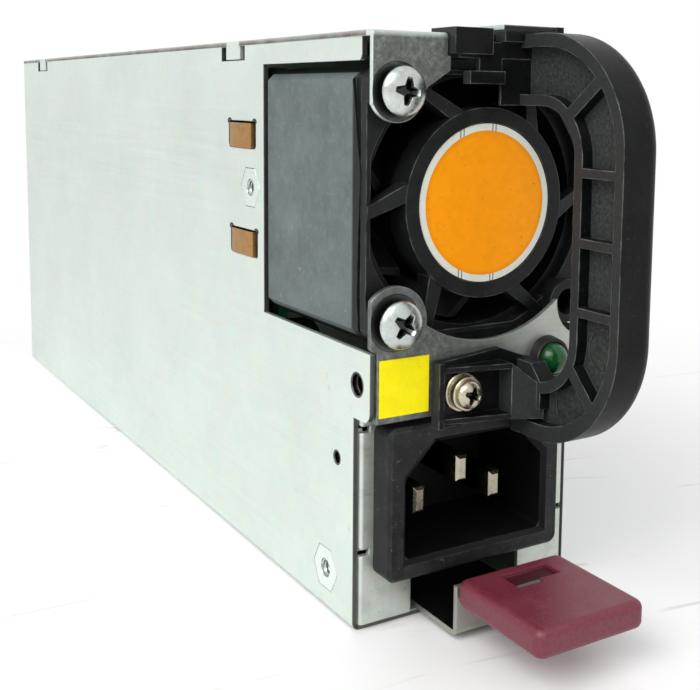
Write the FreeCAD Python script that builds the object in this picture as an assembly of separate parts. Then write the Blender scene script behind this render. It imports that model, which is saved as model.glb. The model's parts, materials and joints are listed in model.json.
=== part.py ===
"""Hot swap server power supply, built as separate pieces in millimetres.

The supply stands on its narrow long side.  X is across the case, Y runs from the
front (negative) to the rear, Z is up.  Pieces are drawn with Y = 0 on the front
plate's outer face and X = 0 in the middle, and are moved forward by half the case
at the end, so the stored origin is the centre of the underside.
"""
import os
import math
import FreeCAD
import Part

V = FreeCAD.Vector

# Driving dimensions of the case
case_w = 39.6          # across the case
case_h = 86.6          # height of the case as it stands
case_l = 191.0         # length of the sheet metal box
sheet_t = 0.8          # thickness of the steel sheet
bend_r = 0.5           # inner radius of the sheet's bends
step_d = 4.4           # how far the upper front stands ahead of the front plate
bracket_h = 10.0       # height of the front bracket below the fan
window_edge = 3.2      # side wall left above the fan's window
vent_w = 8.0           # width of a rear air hole across its flats
vent_rib = 1.8         # sheet left between two rear air holes

# Fan
fan_depth = 29.6       # depth of the fan body
fan_wall = 1.0         # thinnest wall round the fan's bore
fan_hole_edge = 3.4    # screw hole centre from the fan's side
hub_r = 13.9           # radius of the fan's hub
guard_t = 1.5          # thickness of the guard's plate
guard_r = 19.7         # radius of the guard's opening
boss_r = 3.5           # radius of the guard's corner bosses
impeller_l = 19.1      # length of the impeller
blade_count = 7
cup_wall = 1.0         # wall of the impeller's hub
magnet_t = 1.6         # wall of the magnet ring
stator_l = 8.0         # stack height of the stator
shaft_r = 1.0          # radius of the impeller's shaft
bearing_r = 2.4        # outer radius of a ball bearing
tube_wall = 0.7        # wall of the bearing tube

# Inlet
inlet_x = -1.1         # inlet's middle from the case's middle
inlet_w = 31.2         # width of the inlet's front block
inlet_low = 8.2        # lower edge of the front block
socket_side = 3.2      # block left beside the socket
socket_rim = 2.95      # block left above and below the socket
socket_cut = 5.0       # size of the socket's two cut corners
socket_depth = 16.8    # depth of the socket
blade_h = 4.0          # height of an inlet blade
blade_t = 2.0          # thickness of an inlet blade
pin_pitch = 14.0       # distance between the line and neutral blades
pin_off = 2.0          # blade centres above or below the socket's middle

# Handle
handle_x = 4.6         # ribbed face of the handle from the case's middle
handle_t = 7.1         # thickness of the handle across X
handle_reach = 26.7    # front of the handle ahead of the front plate
handle_bar = 9.6       # depth of the grip bar
handle_r = 16.5        # radius of the handle's outer corners
handle_over = 0.2      # top of the handle above the case
handle_under = 4.1     # handle below the bracket's lower edge
arm_top = 10.2         # height of the upper arm
arm_low = 8.6          # height of the lower arm
finger_r = 7.3         # radius of the finger space's corners
pocket_d = 1.9         # depth of the pocket in the ribbed face
rim_t = 1.6            # width of the rim round the pocket
rib_t = 1.3            # width of a cross rib
rib_pitch = 9.6        # distance between the cross ribs
foot_w = 14.4          # foot left of the handle's ribbed face
foot_t = 1.2           # thickness of the foot's base

# Latch, lamp and screws
latch_reach = 29.2     # front of the release tab ahead of the front plate
latch_w = 17.4         # width of the spring strip
latch_t = 0.8          # thickness of the spring strip
tab_w = 18.6           # width of the release tab
tab_l = 18.6           # length of the release tab
tab_t = 4.1            # thickness of the release tab
tab_low = 6.0          # underside of the release tab
hinge_y = 28.0         # where the spring strip bends
catch_l = 5.4          # length of the catch tooth
lamp_r = 2.5           # radius of the lamp
lamp_edge = 7.8        # lamp's middle from the side wall
clip_t = 0.8           # wall of the lamp's clip
screw_r = 1.9          # radius of a fan screw
screw_head = 3.6       # radius of a fan screw's head
head_h = 3.2           # height of a fan screw's head
ear_out = 0.2          # ears of the fan screws beyond the side wall

# Circuit board and its parts
board_t = 1.6          # thickness of the main board
board_low = 3.0        # lower edge of the main board
board_off = 3.2        # board's rear face from the left wall
tongue_out = 8.5       # card edge beyond the rear wall
tongue_low = 8.7       # lower end of the card edge
tongue_h = 53.7        # height of the card edge
key_up = 22.5          # keyway above the card edge's lower end
sink_up = 35.6         # primary cooling plate above the board's lower edge
sink_t = 2.0           # thickness of a cooling plate
fin_h = 4.5            # height of the cooling fins
sink_l = 58.0          # length of the primary cooling plate
rear_sink_l = 34.0     # length of the secondary cooling plate
bulk_r = 13.0          # radius of the bulk capacitor
output_r = 6.3         # radius of the output capacitor
boost_r = 12.0         # radius of the boost choke
filter_r = 10.0        # radius of the filter choke
choke_r = 12.0         # radius of the output choke
trafo_l = 30.0         # length of the transformer's core
trafo_w = 26.0         # width over the transformer's winding
film_l = 22.0          # length of the filter capacitor
film_w = 11.0          # width of the filter capacitor
relay_l = 20.0         # length of the relay
relay_w = 10.0         # width of the relay
fuse_l = 20.0          # length of the fuse over its caps
lead_r = 1.2           # radius of a sleeved lead

# Clearances
seam = 0.1             # between two sheets that lie together
fit_gap = 0.2          # round a fitted piece
fan_inset = 0.4        # fan side below the outer face of the case
window_gap = 0.8       # above and below the fan in its window
run_gap = 0.5          # round a running piece
part_gap = 3.0         # between parts on the board

# Case, worked out from the above
half_w = case_w / 2
inner_x = half_w - sheet_t
wall_top = case_h - sheet_t
edge_y = 0.6
front_y = -step_d
front_back = front_y + sheet_t
screw_hole = screw_r + fit_gap

# Fan, worked out from the above
fan_half = half_w - fan_inset
opening_top = wall_top - window_edge
fan_z = opening_top - window_gap - fan_half
opening_low = fan_z - fan_half - window_gap
bore_r = fan_half - fan_wall
hole_off = fan_half - fan_hole_edge
guard_front = -guard_t
guard_half = fan_half - fit_gap
boss_front = front_back + seam
hub_front = boss_front + seam
frame_back = fan_depth
disc_t = 1.4
label_y = hub_front + 0.25
cup_r = hub_r - 0.4
rotor_y = 1.0 + run_gap
rotor_back = rotor_y + impeller_l
magnet_r = cup_r - cup_wall
stator_r = magnet_r - magnet_t - run_gap
tube_in = bearing_r + seam
tube_out = tube_in + tube_wall

# Front bracket and inlet, worked out from the above
bracket_low = opening_low - bracket_h
plate_top = bracket_low - 0.3
inlet_top = bracket_low - 1.2
inlet_h = inlet_top - inlet_low
inlet_z = (inlet_top + inlet_low) / 2
inlet_front = front_y + seam
socket_w = inlet_w - 2 * socket_side
socket_h = inlet_h - 2 * socket_rim
socket_floor = socket_depth + inlet_front
tag_back = socket_floor + 7.0

# Handle and latch, worked out from the above
handle_y = front_y - seam
handle_top = case_h + handle_over
handle_low = bracket_low - handle_under
handle_back = handle_x + handle_t
foot_x = handle_x - foot_w
strip_z = sheet_t + seam
riser_y = -latch_reach + tab_l + 0.6

# Board, worked out from the above
board_x = -inner_x + board_off
board_face = board_x + board_t
board_front = frame_back + 3.6
board_back = case_l - sheet_t - 0.6
board_top = case_h - 4.4
board_room = inner_x - 0.9 - board_face
tongue_high = tongue_low + tongue_h
key_z = tongue_low + key_up
sink_z = board_low + sink_up
lane_low = sink_z + sink_t + fin_h + 0.8
lane_z = (lane_low + board_top - 0.8) / 2
choke_y = board_front + 22.0
bulk_y = choke_y + boost_r + part_gap + bulk_r
trafo_y = bulk_y + bulk_r + part_gap + trafo_l / 2
rear_sink_y = trafo_y + trafo_l / 2 + 2 * part_gap + rear_sink_l / 2
output_y = board_back - 8.0 - choke_r
sink_y = (bulk_y + trafo_y) / 2
plug_y = board_front + 5.5
plug_z = fan_z - hole_off - 4.5


def box(x0, x1, y0, y1, z0, z1):
    return Part.makeBox(x1 - x0, y1 - y0, z1 - z0, V(x0, y0, z0))


def cyl_x(r, x0, x1, y, z):
    return Part.makeCylinder(r, x1 - x0, V(x0, y, z), V(1, 0, 0))


def cyl_y(r, y0, y1, x, z):
    return Part.makeCylinder(r, y1 - y0, V(x, y0, z), V(0, 1, 0))


def cyl_z(r, z0, z1, x, y):
    return Part.makeCylinder(r, z1 - z0, V(x, y, z0), V(0, 0, 1))


def cone_y(r0, r1, y0, y1, x, z):
    return Part.makeCone(r0, r1, y1 - y0, V(x, y0, z), V(0, 1, 0))


def ring_y(outer, inner, y0, y1):
    """Ring round the fan's axis."""
    return cyl_y(outer, y0, y1, 0, fan_z).cut(cyl_y(inner, y0 - 1, y1 + 1, 0, fan_z))


def join(pieces):
    return pieces[0].fuse(pieces[1:]).removeSplitter()


def prism(corners, way):
    """Solid swept from a closed outline of 3D corners."""
    return Part.Face(Part.makePolygon(corners + corners[:1])).extrude(way)


def plate_xz(points, y0, y1):
    return prism([V(x, y0, z) for x, z in points], V(0, y1 - y0, 0))


def plate_yz(points, x0, x1):
    return prism([V(x0, y, z) for y, z in points], V(x1 - x0, 0, 0))


def plate_xy(points, z0, z1):
    return prism([V(x, y, z0) for x, y in points], V(0, 0, z1 - z0))


def near(a, b):
    return abs(a - b) < 1e-4


def along(axis, e):
    d = e.Vertexes[-1].Point.sub(e.Vertexes[0].Point)
    return abs(abs(d[axis]) - d.Length) < 1e-6


def round_edges(shape, radius, test):
    """Fillet the straight edges whose two ends both pass the test."""
    picked = [e for e in shape.Edges
              if len(e.Vertexes) == 2 and all(test(v.Point) for v in e.Vertexes)]
    return shape.makeFillet(radius, picked)


def rounded_box(x0, x1, y0, y1, z0, z1, radius, axis):
    """Box with its four edges along one axis rounded."""
    solid = box(x0, x1, y0, y1, z0, z1)
    return solid.makeFillet(radius, [e for e in solid.Edges if along(axis, e)])


def round_front(front, back, low, top, radius, x0, x1):
    """Slab across X whose two front corners are rounded."""
    slab = box(x0, x1, front, back, low, top)
    edges = [e for e in slab.Edges if along(0, e) and near(e.Vertexes[0].Y, front)]
    return slab.makeFillet(min(radius, 0.45 * (top - low), 0.9 * (back - front)), edges)


def hexagon_x(across, x0, x1, y, z):
    r = across / math.sqrt(3)
    corners = [(y + r * math.cos(math.radians(60 * k)), z + r * math.sin(math.radians(60 * k)))
               for k in range(6)]
    return plate_yz(corners, x0, x1)


def phillips(x, z, y, size, depth):
    """Cross recess with tapered arms, opening towards the front."""
    arms = []
    for a in (0, 90):
        arm = plate_yz([(y - 1, size + 0.8), (y, size), (y + depth, 0.5 * size),
                        (y + depth, -0.5 * size), (y, -size), (y - 1, -size - 0.8)],
                       -0.26 * size, 0.26 * size)
        arm.rotate(V(0, 0, 0), V(0, 1, 0), a + 8)
        arms.append(arm)
    cross = arms[0].fuse(arms[1])
    cross.translate(V(x, 0, z))
    return cross


def pan_screw(x, z, seat_y, head_r, head_h, shank_r, shank_len):
    """Screw whose head sits on a face at seat_y and whose shank runs to the rear."""
    head = cyl_y(head_r, seat_y - 0.45 * head_h, seat_y, x, z)
    crown = cone_y(0.66 * head_r, head_r, seat_y - head_h, seat_y - 0.45 * head_h, x, z)
    shank = cyl_y(shank_r, seat_y - 0.01, seat_y + shank_len - 1, x, z)
    point = cone_y(shank_r, 0.4 * shank_r, seat_y + shank_len - 1, seat_y + shank_len, x, z)
    recess = phillips(x, z, seat_y - head_h, 0.6 * head_r, 0.6 * head_h)
    return join([head, crown, shank, point]).cut(recess)


def fan_side_window(x0, x1):
    """Space the fan's side stands in, open towards the front."""
    return box(x0, x1, front_y - 2, frame_back + 0.9, opening_low, opening_top)


def side_flap(x0, x1):
    """Forward part of a side wall beside the bracket, with its lower corner rounded."""
    front = front_y + 0.5
    flap = box(x0, x1, front, edge_y + 1, bracket_low, opening_low)
    return round_edges(flap, 1.6, lambda p: near(p.y, front) and near(p.z, bracket_low))


def side_strip(x0, x1):
    """Forward part of a side wall above the fan."""
    front = front_y + 3.3
    strip = box(x0, x1, front, edge_y + 1, opening_top, wall_top)
    return round_edges(strip, 0.9, lambda p: near(p.y, front) and near(p.z, opening_top))


def spring_places():
    return [(frame_back + 9.4, fan_z + 8.7), (frame_back + 8.8, fan_z - 9.4)]


def insert_places():
    return [(frame_back + 6.2, fan_z), (8.9, 6.6)]


def tab_places():
    return [frame_back + 13.0, case_l - 21.0]


def rivet_places():
    return [(-0.27 * latch_w, hinge_y + 9), (0.27 * latch_w, hinge_y + 9)]


def plate_side_hole():
    """Small round hole through the side wall and the bracket's flange behind it."""
    return cyl_x(1.6, -half_w - 1, -inner_x + 2, -0.4, opening_low - 5.0)


def vent_places():
    """Hexagonal air holes of the rear wall as (x, z) centres."""
    pitch = vent_w + vent_rib
    lift = pitch * math.sin(math.radians(60))
    first = board_face + 5.4
    rows = int((case_h - 17) / lift)
    cols = int((inner_x - 4.4 - first) / pitch)
    return [(first + (c + 0.5 * (r % 2)) * pitch, 8.6 + r * lift)
            for r in range(rows + 1) for c in range(cols + 1 - r % 2)]


def vent_hole(x, z):
    hole = hexagon_x(vent_w, -sheet_t, sheet_t, 0, 0)
    hole.rotate(V(0, 0, 0), V(1, 0, 0), 30)
    hole.rotate(V(0, 0, 0), V(0, 0, 1), 90)
    hole.translate(V(x, case_l - sheet_t / 2, z))
    return hole


def catch_slot():
    return box(-3.6, 3.6, 11.6, 12.8 + catch_l, -1, sheet_t + 1)


def chassis_base():
    """Left wall, underside and rear wall folded from one sheet."""
    outer = box(-half_w, inner_x - seam, edge_y, case_l, 0, wall_top)
    outer = round_edges(outer, bend_r + sheet_t, lambda p: near(p.x, -half_w) and near(p.z, 0))
    inner = box(-inner_x, half_w, -1, case_l - sheet_t, sheet_t, case_h)
    inner = round_edges(inner, bend_r, lambda p: near(p.x, -inner_x) and near(p.z, sheet_t))
    shell = outer.cut(inner).cut(fan_side_window(-half_w - 1, -inner_x + 1))
    shell = join([shell, side_flap(-half_w, -inner_x), side_strip(-half_w, -inner_x)])
    cuts = [catch_slot(), plate_side_hole()]
    cuts.append(cyl_x(0.9, -half_w - 1, -inner_x + 0.1, 5.4, plate_top - 7.0))
    for y, z in spring_places():
        cuts.append(rounded_box(-half_w - 1, -inner_x + 1, y - 5.6, y + 5.6, z - 2.3, z + 2.3, 0.7, 0))
    for y, z in insert_places():
        cuts.append(hexagon_x(6.3 + fit_gap, -half_w - 1, -inner_x + 1, y, z))
    for y in tab_places():
        cuts.append(box(-half_w - 1, -inner_x + 1, y - 4.9, y + 4.9, wall_top - 2.4, case_h))
    for x, y in rivet_places():
        cuts.append(cyl_z(1.1, -1, sheet_t + 1, x, y))
    for x, z in vent_places():
        cuts.append(vent_hole(x, z))
    cuts.append(box(board_x - 1.6, board_face + 1.6, case_l - 3, case_l + 1,
                    tongue_low - 1.6, tongue_high + 1.6))
    cuts.append(box(inner_x - 1, inner_x + 1, case_l - 3, case_l + 1, wall_top - 0.9, wall_top + 1))
    return shell.cut(cuts)


def cover_tab(y):
    """Tab of the cover folded down over the left wall's notch."""
    tab = box(-half_w, -inner_x, y - 2.8, y + 2.8, wall_top - 2.2, case_h)
    return round_edges(tab, bend_r + 0.2, lambda p: near(p.x, -half_w) and near(p.z, case_h))


def ear_place():
    return (-hole_off, fan_z + hole_off)


def upper_ear():
    """Ear folded down from the cover that holds the fan's upper screw."""
    x, z = ear_place()
    left = -half_w - ear_out
    ear = plate_xz([(left, case_h), (x + 8.1, case_h), (x + 8.1, z + 5.0), (x + 8.6, z + 5.0),
                    (x + 8.6, z + 3.0), (x + 4.8, z + 0.6), (x + 3.6, z - 1.8), (x, z - 4.3),
                    (left, z - 1.8)], front_y, front_back)
    disc = cyl_y(4.3, front_y, front_back, x, z).common(box(left, 0, front_y, front_back, 0, case_h))
    top = box(left, x + 8.1, front_y, edge_y + 1, wall_top, case_h)
    ear = join([ear, disc, top])
    ear = round_edges(ear, bend_r + 0.2, lambda p: near(p.y, front_y) and near(p.z, case_h))
    return ear.cut([ear_seat(x, z), cyl_y(screw_hole, front_y - 1, 0, x, z)])


def ear_seat(x, z):
    """Shallow dished seat under a fan screw's head."""
    return cone_y(screw_head + 0.6, screw_head + 0.1, front_y - 0.01, front_y + 0.35, x, z)


def lip_z():
    return handle_top + 0.5


def handle_lip():
    """Joggled lip of the cover that holds down the handle's upper root."""
    left = handle_x - 3.7
    right = handle_x + 5.5
    profile = [(handle_y - 1.0, lip_z()), (0.8, lip_z()), (1.4, wall_top), (3.0, wall_top),
               (2.2, lip_z() + 0.7), (handle_y - 1.0, lip_z() + 0.7)]
    return plate_yz(profile, left, right)


def chassis_cover():
    """Right wall and top folded from one sheet, with the ear, the tabs and the lip."""
    outer = box(-half_w, half_w, edge_y, case_l, 0, case_h)
    outer = round_edges(outer, bend_r + sheet_t, lambda p: near(p.x, half_w) and near(p.z, case_h))
    inner = box(-half_w - 1, inner_x, -1, case_l + 1, -1, wall_top)
    inner = round_edges(inner, bend_r, lambda p: near(p.x, inner_x) and near(p.z, wall_top))
    shell = outer.cut(inner).cut(fan_side_window(inner_x - 1, half_w + 1))
    parts = [shell, side_flap(inner_x, half_w), side_strip(inner_x, half_w), upper_ear(), handle_lip()]
    parts = parts + [cover_tab(y) for y in tab_places()]
    return join(parts)


def front_plate():
    """Lower front sheet round the inlet, with flanges inside the side walls."""
    low = sheet_t + seam
    left = -inner_x + seam
    right = inner_x - seam
    ends = (low + 11, plate_top - 1.6)
    face = box(left, right, 0, sheet_t, low, plate_top)
    flanges = [box(left, left + sheet_t, 0, 12, ends[0], ends[1]),
               box(right - sheet_t, right, 0, 12, ends[0], ends[1])]
    plate = join([face] + flanges)
    corners = [e for e in plate.Edges if along(2, e) and near(e.Vertexes[0].Y, 0)
               and near(abs(e.Vertexes[0].X), right)]
    plate = plate.makeFillet(bend_r, corners)
    notch = rounded_box(-latch_w / 2 - 1.4, latch_w / 2 + 1.4, -1, 2, low - 4, inlet_low - 1.4, 0.8, 1)
    hole = box(inlet_x - inlet_w / 2 + 1.6, inlet_x + inlet_w / 2 - 1.6, -1, 2,
               inlet_low + 1.4, inlet_top - 1.4)
    reliefs = [cyl_x(0.6, side - 1.5, side + 1.5, 0.4, z) for side in (left, right) for z in ends]
    return plate.cut([notch, hole] + reliefs)


def lamp_place():
    return (inner_x - lamp_edge, opening_low - 3.7)


def handle_screw_place():
    return (foot_x + 4.2, opening_low - 6.6)


def front_bracket():
    """Upper front sheet: the lower ear, the label pad, the pointed end and the lamp's hole."""
    x, z = -hole_off, fan_z - hole_off
    edge = inner_x - seam
    sheet = box(-edge, edge, front_y, front_back, bracket_low, z + 0.8)
    arc = cyl_y(guard_r + 0.3, front_y - 1, 1, 0, fan_z)
    scoop = cyl_y(5.4, front_y - 1, 1, hole_off + 2.5, z + 0.2)
    room = box(-half_w - ear_out, 0, front_y, front_back, opening_low + 0.4, case_h)
    ear = cyl_y(5.2, front_y, front_back, x, z).common(room)
    flanges = [box(side, side + sheet_t, front_y, 9.0, bracket_low + 0.9, opening_low - 0.9)
               for side in (-edge, edge - sheet_t)]
    bracket = join([sheet.cut([arc, scoop]), ear] + flanges)
    lx, lz = lamp_place()
    sx, sz = handle_screw_place()
    return bracket.cut([ear_seat(x, z), cyl_y(screw_hole, front_y - 1, 1, x, z),
                        cyl_y(lamp_r + 0.5, front_y - 1, 1, lx, lz),
                        cyl_y(1.5, front_y - 1, 1, sx, sz), plate_side_hole()])


def pad_label():
    """Plain sticker between the bracket's left end and the handle's foot."""
    left = -inner_x + 0.4
    right = foot_x - 0.6
    return box(left, right, front_y - 0.15, front_y, bracket_low + 0.9, opening_low - 0.9)


def socket_wire(grow, y):
    """Socket's outline at one depth: a rectangle with its two upper corners cut off."""
    w = socket_w / 2 + grow
    low = inlet_z - socket_h / 2 - grow
    top = inlet_z + socket_h / 2 + grow
    points = [(inlet_x - w, low), (inlet_x + w, low), (inlet_x + w, top - socket_cut),
              (inlet_x + w - socket_cut, top), (inlet_x - w + socket_cut, top),
              (inlet_x - w, top - socket_cut)]
    return Part.makePolygon([V(x, y, z) for x, z in points + points[:1]])


def socket_space():
    """The socket itself, with a bevelled mouth."""
    hole = Part.makeLoft([socket_wire(0, inlet_front - 1), socket_wire(0, socket_floor)], True, True)
    hole = hole.makeFillet(0.9, [e for e in hole.Edges if along(1, e)])
    mouth = Part.makeLoft([socket_wire(0.7, inlet_front - 0.01), socket_wire(0, inlet_front + 0.7)], True)
    return [hole, mouth]


def inlet_housing():
    """Black moulded inlet: front block, body behind the plate and the socket."""
    w = inlet_w / 2
    block = rounded_box(inlet_x - w, inlet_x + w, inlet_front, -0.01, inlet_low, inlet_top, 1.4, 1)
    rim = [e for e in block.Edges if all(near(v.Y, inlet_front) for v in e.Vertexes)]
    block = block.makeChamfer(0.5, rim)
    neck = box(inlet_x - w + 1.7, inlet_x + w - 1.7, -0.1, sheet_t, inlet_low + 1.5, inlet_top - 1.5)
    body = box(inlet_x - w + 1.7, inlet_x + w - 1.7, sheet_t - 0.1, socket_floor + 3,
               inlet_low + 1.5, inlet_top - 1.5)
    clips = [box(inlet_x + s * (w - 1.7) - 0.7, inlet_x + s * (w - 1.7) + 0.7, sheet_t + 0.1, 5,
                 inlet_z - 4, inlet_z + 4) for s in (-1, 1)]
    holes = [box(x - blade_t / 2, x + blade_t / 2, socket_floor - 1, socket_floor + 4,
                 z - blade_h / 2, z + blade_h / 2) for x, z in pin_places()]
    return join([block, neck, body] + clips).cut(socket_space() + holes)


def pin_places():
    """Line, neutral and earth blade centres as (x, z)."""
    return [(inlet_x - pin_pitch / 2, inlet_z - pin_off),
            (inlet_x + pin_pitch / 2, inlet_z - pin_off),
            (inlet_x, inlet_z + pin_off)]


def inlet_pin(index):
    """Upright blade with a bevelled tip and a soldering tag behind the housing."""
    x, z = pin_places()[index]
    tip = 0.8 if index < 2 else -0.2
    t = blade_t / 2
    h = blade_h / 2
    blade = box(x - t, x + t, tip, tag_back, z - h, z + h)
    nose = [e for e in blade.Edges if all(near(v.Y, tip) for v in e.Vertexes)]
    blade = blade.makeChamfer(0.45, nose)
    return blade.cut(cyl_x(0.8, x - t - 1, x + t + 1, tag_back - 1.8, z))


def finger_space(grow, x0, x1):
    """Space inside the loop, rounded at its front corners."""
    return round_front(-handle_reach + handle_bar - grow, step_d, handle_low + arm_low - grow,
                       handle_top - arm_top + grow, finger_r + grow, x0, x1)


def slanted_bar(y, z, angle, x0, x1):
    """Diagonal rib through one corner of the handle."""
    bar = box(x0, x1, -8, 8, -0.7 * rib_t, 0.7 * rib_t)
    bar.rotate(V(0, 0, 0), V(1, 0, 0), angle)
    bar.translate(V(0, y, z))
    return bar


def handle_ribs(x0, x1):
    """Three cross ribs and two diagonal ones."""
    middle = (handle_top + handle_low) / 2 + 0.6
    front = -handle_reach
    ribs = [box(x0, x1, front, front + handle_bar, middle + k * rib_pitch - rib_t / 2,
                middle + k * rib_pitch + rib_t / 2) for k in (-1, 0, 1)]
    corner = front + 0.55 * handle_r - rim_t
    ribs.append(slanted_bar(corner, handle_top - arm_top + rim_t, -38, x0, x1))
    ribs.append(slanted_bar(corner - 0.8, handle_low + arm_low + 0.6, 46, x0, x1))
    return ribs


def handle_pocket():
    """Shallow pocket of the ribbed face, between the rims and round the ribs."""
    x0, x1 = handle_x - 1, handle_x + pocket_d
    space = round_front(-handle_reach + rim_t, handle_y - 0.4, handle_low + 1.5 * rim_t,
                        handle_top - 1.2 * rim_t, handle_r - rim_t, x0, x1)
    root = box(x0 - 1, x1 + 1, handle_y - 2.9, 0, handle_low, handle_low + arm_low)
    return space.cut([finger_space(rim_t, x0 - 1, x1 + 1), root] + handle_ribs(x0, x1))


def handle_loop():
    """The loop itself: a bar with a rounded back and a ribbed pocket towards -X."""
    bar = round_front(-handle_reach, handle_y, handle_low, handle_top, handle_r, handle_x, handle_back)
    rim = [e for e in bar.Edges if all(near(v.X, handle_back) for v in e.Vertexes)
           and not all(near(v.Y, handle_y) for v in e.Vertexes)]
    bar = bar.makeFillet(2.4, rim)
    floor = handle_x + pocket_d
    pads = [cyl_x(r, floor - 0.1, floor + 0.2, y - handle_reach, z + handle_low)
            for r, y, z in ((3.4, 10.6, 6.1), (2.9, 4.6, 15.3))]
    pads = [pad.common(pocket_floor(floor)) for pad in pads]
    return bar.cut([finger_space(0, handle_x - 1, handle_back + 1), handle_pocket()] + pads)


def pocket_floor(x):
    """Thin slab just under the pocket, where the ejector marks lie."""
    slab = handle_pocket()
    slab.translate(V(x - handle_x, 0, 0))
    return slab


def handle_cheek():
    """Swelling of the lower arm where it meets the foot."""
    z = handle_low + arm_low
    profile = [(handle_y, z - 4), (handle_y, z + 2.5), (handle_y - 4.4, z + 2.5),
               (handle_y - 6.6, z), (handle_y - 6.6, z - 4)]
    return plate_yz(profile, handle_x, handle_back)


def handle_foot():
    """Thin base on the bracket with a low end wall and two sloping webs."""
    sx, sz = handle_screw_place()
    low = sz - 5.0
    base = plate_xz([(foot_x, low), (handle_x + 4, low), (handle_x + 4, sz + 3.0),
                     (handle_x - 3.2, sz + 5.6), (foot_x, sz + 4.6)], handle_y - foot_t, handle_y)
    slope = [(foot_x, handle_y), (foot_x, handle_y - 1.5), (handle_x - 3.2, handle_y - 4.1),
             (handle_x + 1, handle_y - 6.4), (handle_x + 1, handle_y)]
    webs = [plate_xy(slope, z, z + 0.8) for z in (low + 0.6, sz + 3.1)]
    cheek = plate_xy([(handle_x - 3.2, handle_y)] + slope[2:], low + 0.6, sz + 3.9)
    fall = plate_xz([(handle_x - 3.2, sz + 4), (handle_x - 3.2, sz + 3.9), (handle_x, handle_low + arm_low),
                     (handle_x + 2, handle_low + arm_low), (handle_x + 2, sz + 4)], handle_y - 8, handle_y - foot_t)
    wall = box(foot_x, foot_x + 0.9, handle_y - 1.9, handle_y, low, sz + 4.6)
    return join([base, wall, cheek] + webs).cut([fall, cyl_y(1.5, handle_y - 4, 0, sx, sz)])


def handle_hook():
    """Upper root: end block, two small blocks, a bridge and a tongue under the top."""
    face = handle_y - 1.3
    root = handle_x - 3.6
    end = box(root, handle_x + 1, handle_y - 0.4, handle_y, handle_top - arm_top, handle_top)
    crown = box(root, handle_back, face, 0.3, case_h - 1, lip_z() - seam)
    heel = box(handle_x + 5.7, handle_back, face, 0.3, case_h - 1, lip_z() + 0.7)
    left = ear_place()[0] + 8.4
    upper = box(left, root - 2.1, face, 0.3, case_h - 2.9, case_h + 0.8)
    recessed = box(root - 2.2, root + 0.1, handle_y + 1.0, 0.3, case_h - 2.1, case_h + 0.1)
    lower = box(left + 2.6, root + 0.1, face, handle_y + 0.4, case_h - 7.0, case_h - 5.2)
    bridge = box(root - 3.9, root + 0.1, handle_y - 0.5, handle_y + 0.4, case_h - 5.4, case_h - 2.6)
    tongue = box(left + 1.2, handle_x + 5.0, handle_y - 0.5, 3.0, wall_top - 2.6, wall_top - 0.3)
    return join([end, crown, heel, upper, recessed, lower, bridge, tongue])


def handle():
    """Pull handle moulded in one piece and screwed to the bracket."""
    lx, lz = lamp_place()
    relief = cyl_y(lamp_r + clip_t + 0.6, handle_y - 6.0, 1, lx, lz)
    return join([handle_loop(), handle_cheek(), handle_foot(), handle_hook()]).cut(relief)


def handle_washer():
    """Flat washer with a split spring washer on it."""
    sx, sz = handle_screw_place()
    seat = handle_y - foot_t
    flat = cyl_y(2.9, seat - 0.6, seat, sx, sz)
    spring = cyl_y(2.6, seat - 1.5, seat - 0.6, sx, sz)
    split = box(sx - 0.2, sx + 0.2, seat - 2, seat - 0.6, sz, sz + 4)
    return join([flat, spring]).cut([cyl_y(1.6, seat - 2, seat + 1, sx, sz), split])


def handle_screw():
    sx, sz = handle_screw_place()
    return pan_screw(sx, sz, handle_y - foot_t - 1.5, 2.6, 1.8, 1.3, 5.8)


def wavy_front(x0, x1):
    """Space ahead of the wavy front edge of the fan body's side skin."""
    edge = [(2.1, fan_half + 1), (2.1, 0.91 * fan_half), (0.0, 0.24 * fan_half),
            (0.7, -0.64 * fan_half), (0.0, -fan_half - 1)]
    back = [(-1.0, -fan_half - 1), (-1.0, fan_half + 1)]
    return plate_yz([(y, fan_z + z) for y, z in edge + back], x0, x1)


def corner_holes(r, y0, y1):
    return [cyl_y(r, y0, y1, sx * hole_off, fan_z + sz * hole_off) for sx in (-1, 1) for sz in (-1, 1)]


def fan_frame():
    """Square fan body with a round bore, screw holes and bevelled long edges."""
    body = box(-fan_half, fan_half, 0, frame_back, fan_z - fan_half, fan_z + fan_half)
    body = body.makeChamfer(1.8, [e for e in body.Edges if along(1, e)])
    skins = [wavy_front(-fan_half - 1, -fan_half + 0.5), wavy_front(fan_half - 0.5, fan_half + 1)]
    bore = cyl_y(bore_r, -1, frame_back + 1, 0, fan_z)
    return body.cut(skins + [bore] + corner_holes(screw_hole, -1, frame_back + 1))


def strut(angle):
    """Skewed strut from the hub to the rim, whose front slopes back towards the rim."""
    def corner(r, a, y):
        return V(r * math.cos(math.radians(a)), y, fan_z + r * math.sin(math.radians(a)))
    root = hub_r - 0.4
    tip = guard_r + 1.0
    front = [corner(root, angle - 6, hub_front + 0.2), corner(root, angle + 6, hub_front + 0.2),
             corner(tip, angle + 15.4, guard_front), corner(tip, angle + 11, guard_front)]
    back = [V(p.x, -0.01, p.z) for p in front]
    return hull(front, back)


def hull(front, back):
    """Solid between two four cornered outlines, closed with triangles."""
    faces = []
    for a, b, c, d in ([front, back] + [[front[k - 1], front[k], back[k], back[k - 1]] for k in range(4)]):
        for corners in ((a, b, c), (a, c, d)):
            faces.append(Part.Face(Part.makePolygon([*corners, corners[0]])))
    return Part.makeSolid(Part.makeShell(faces))


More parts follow.
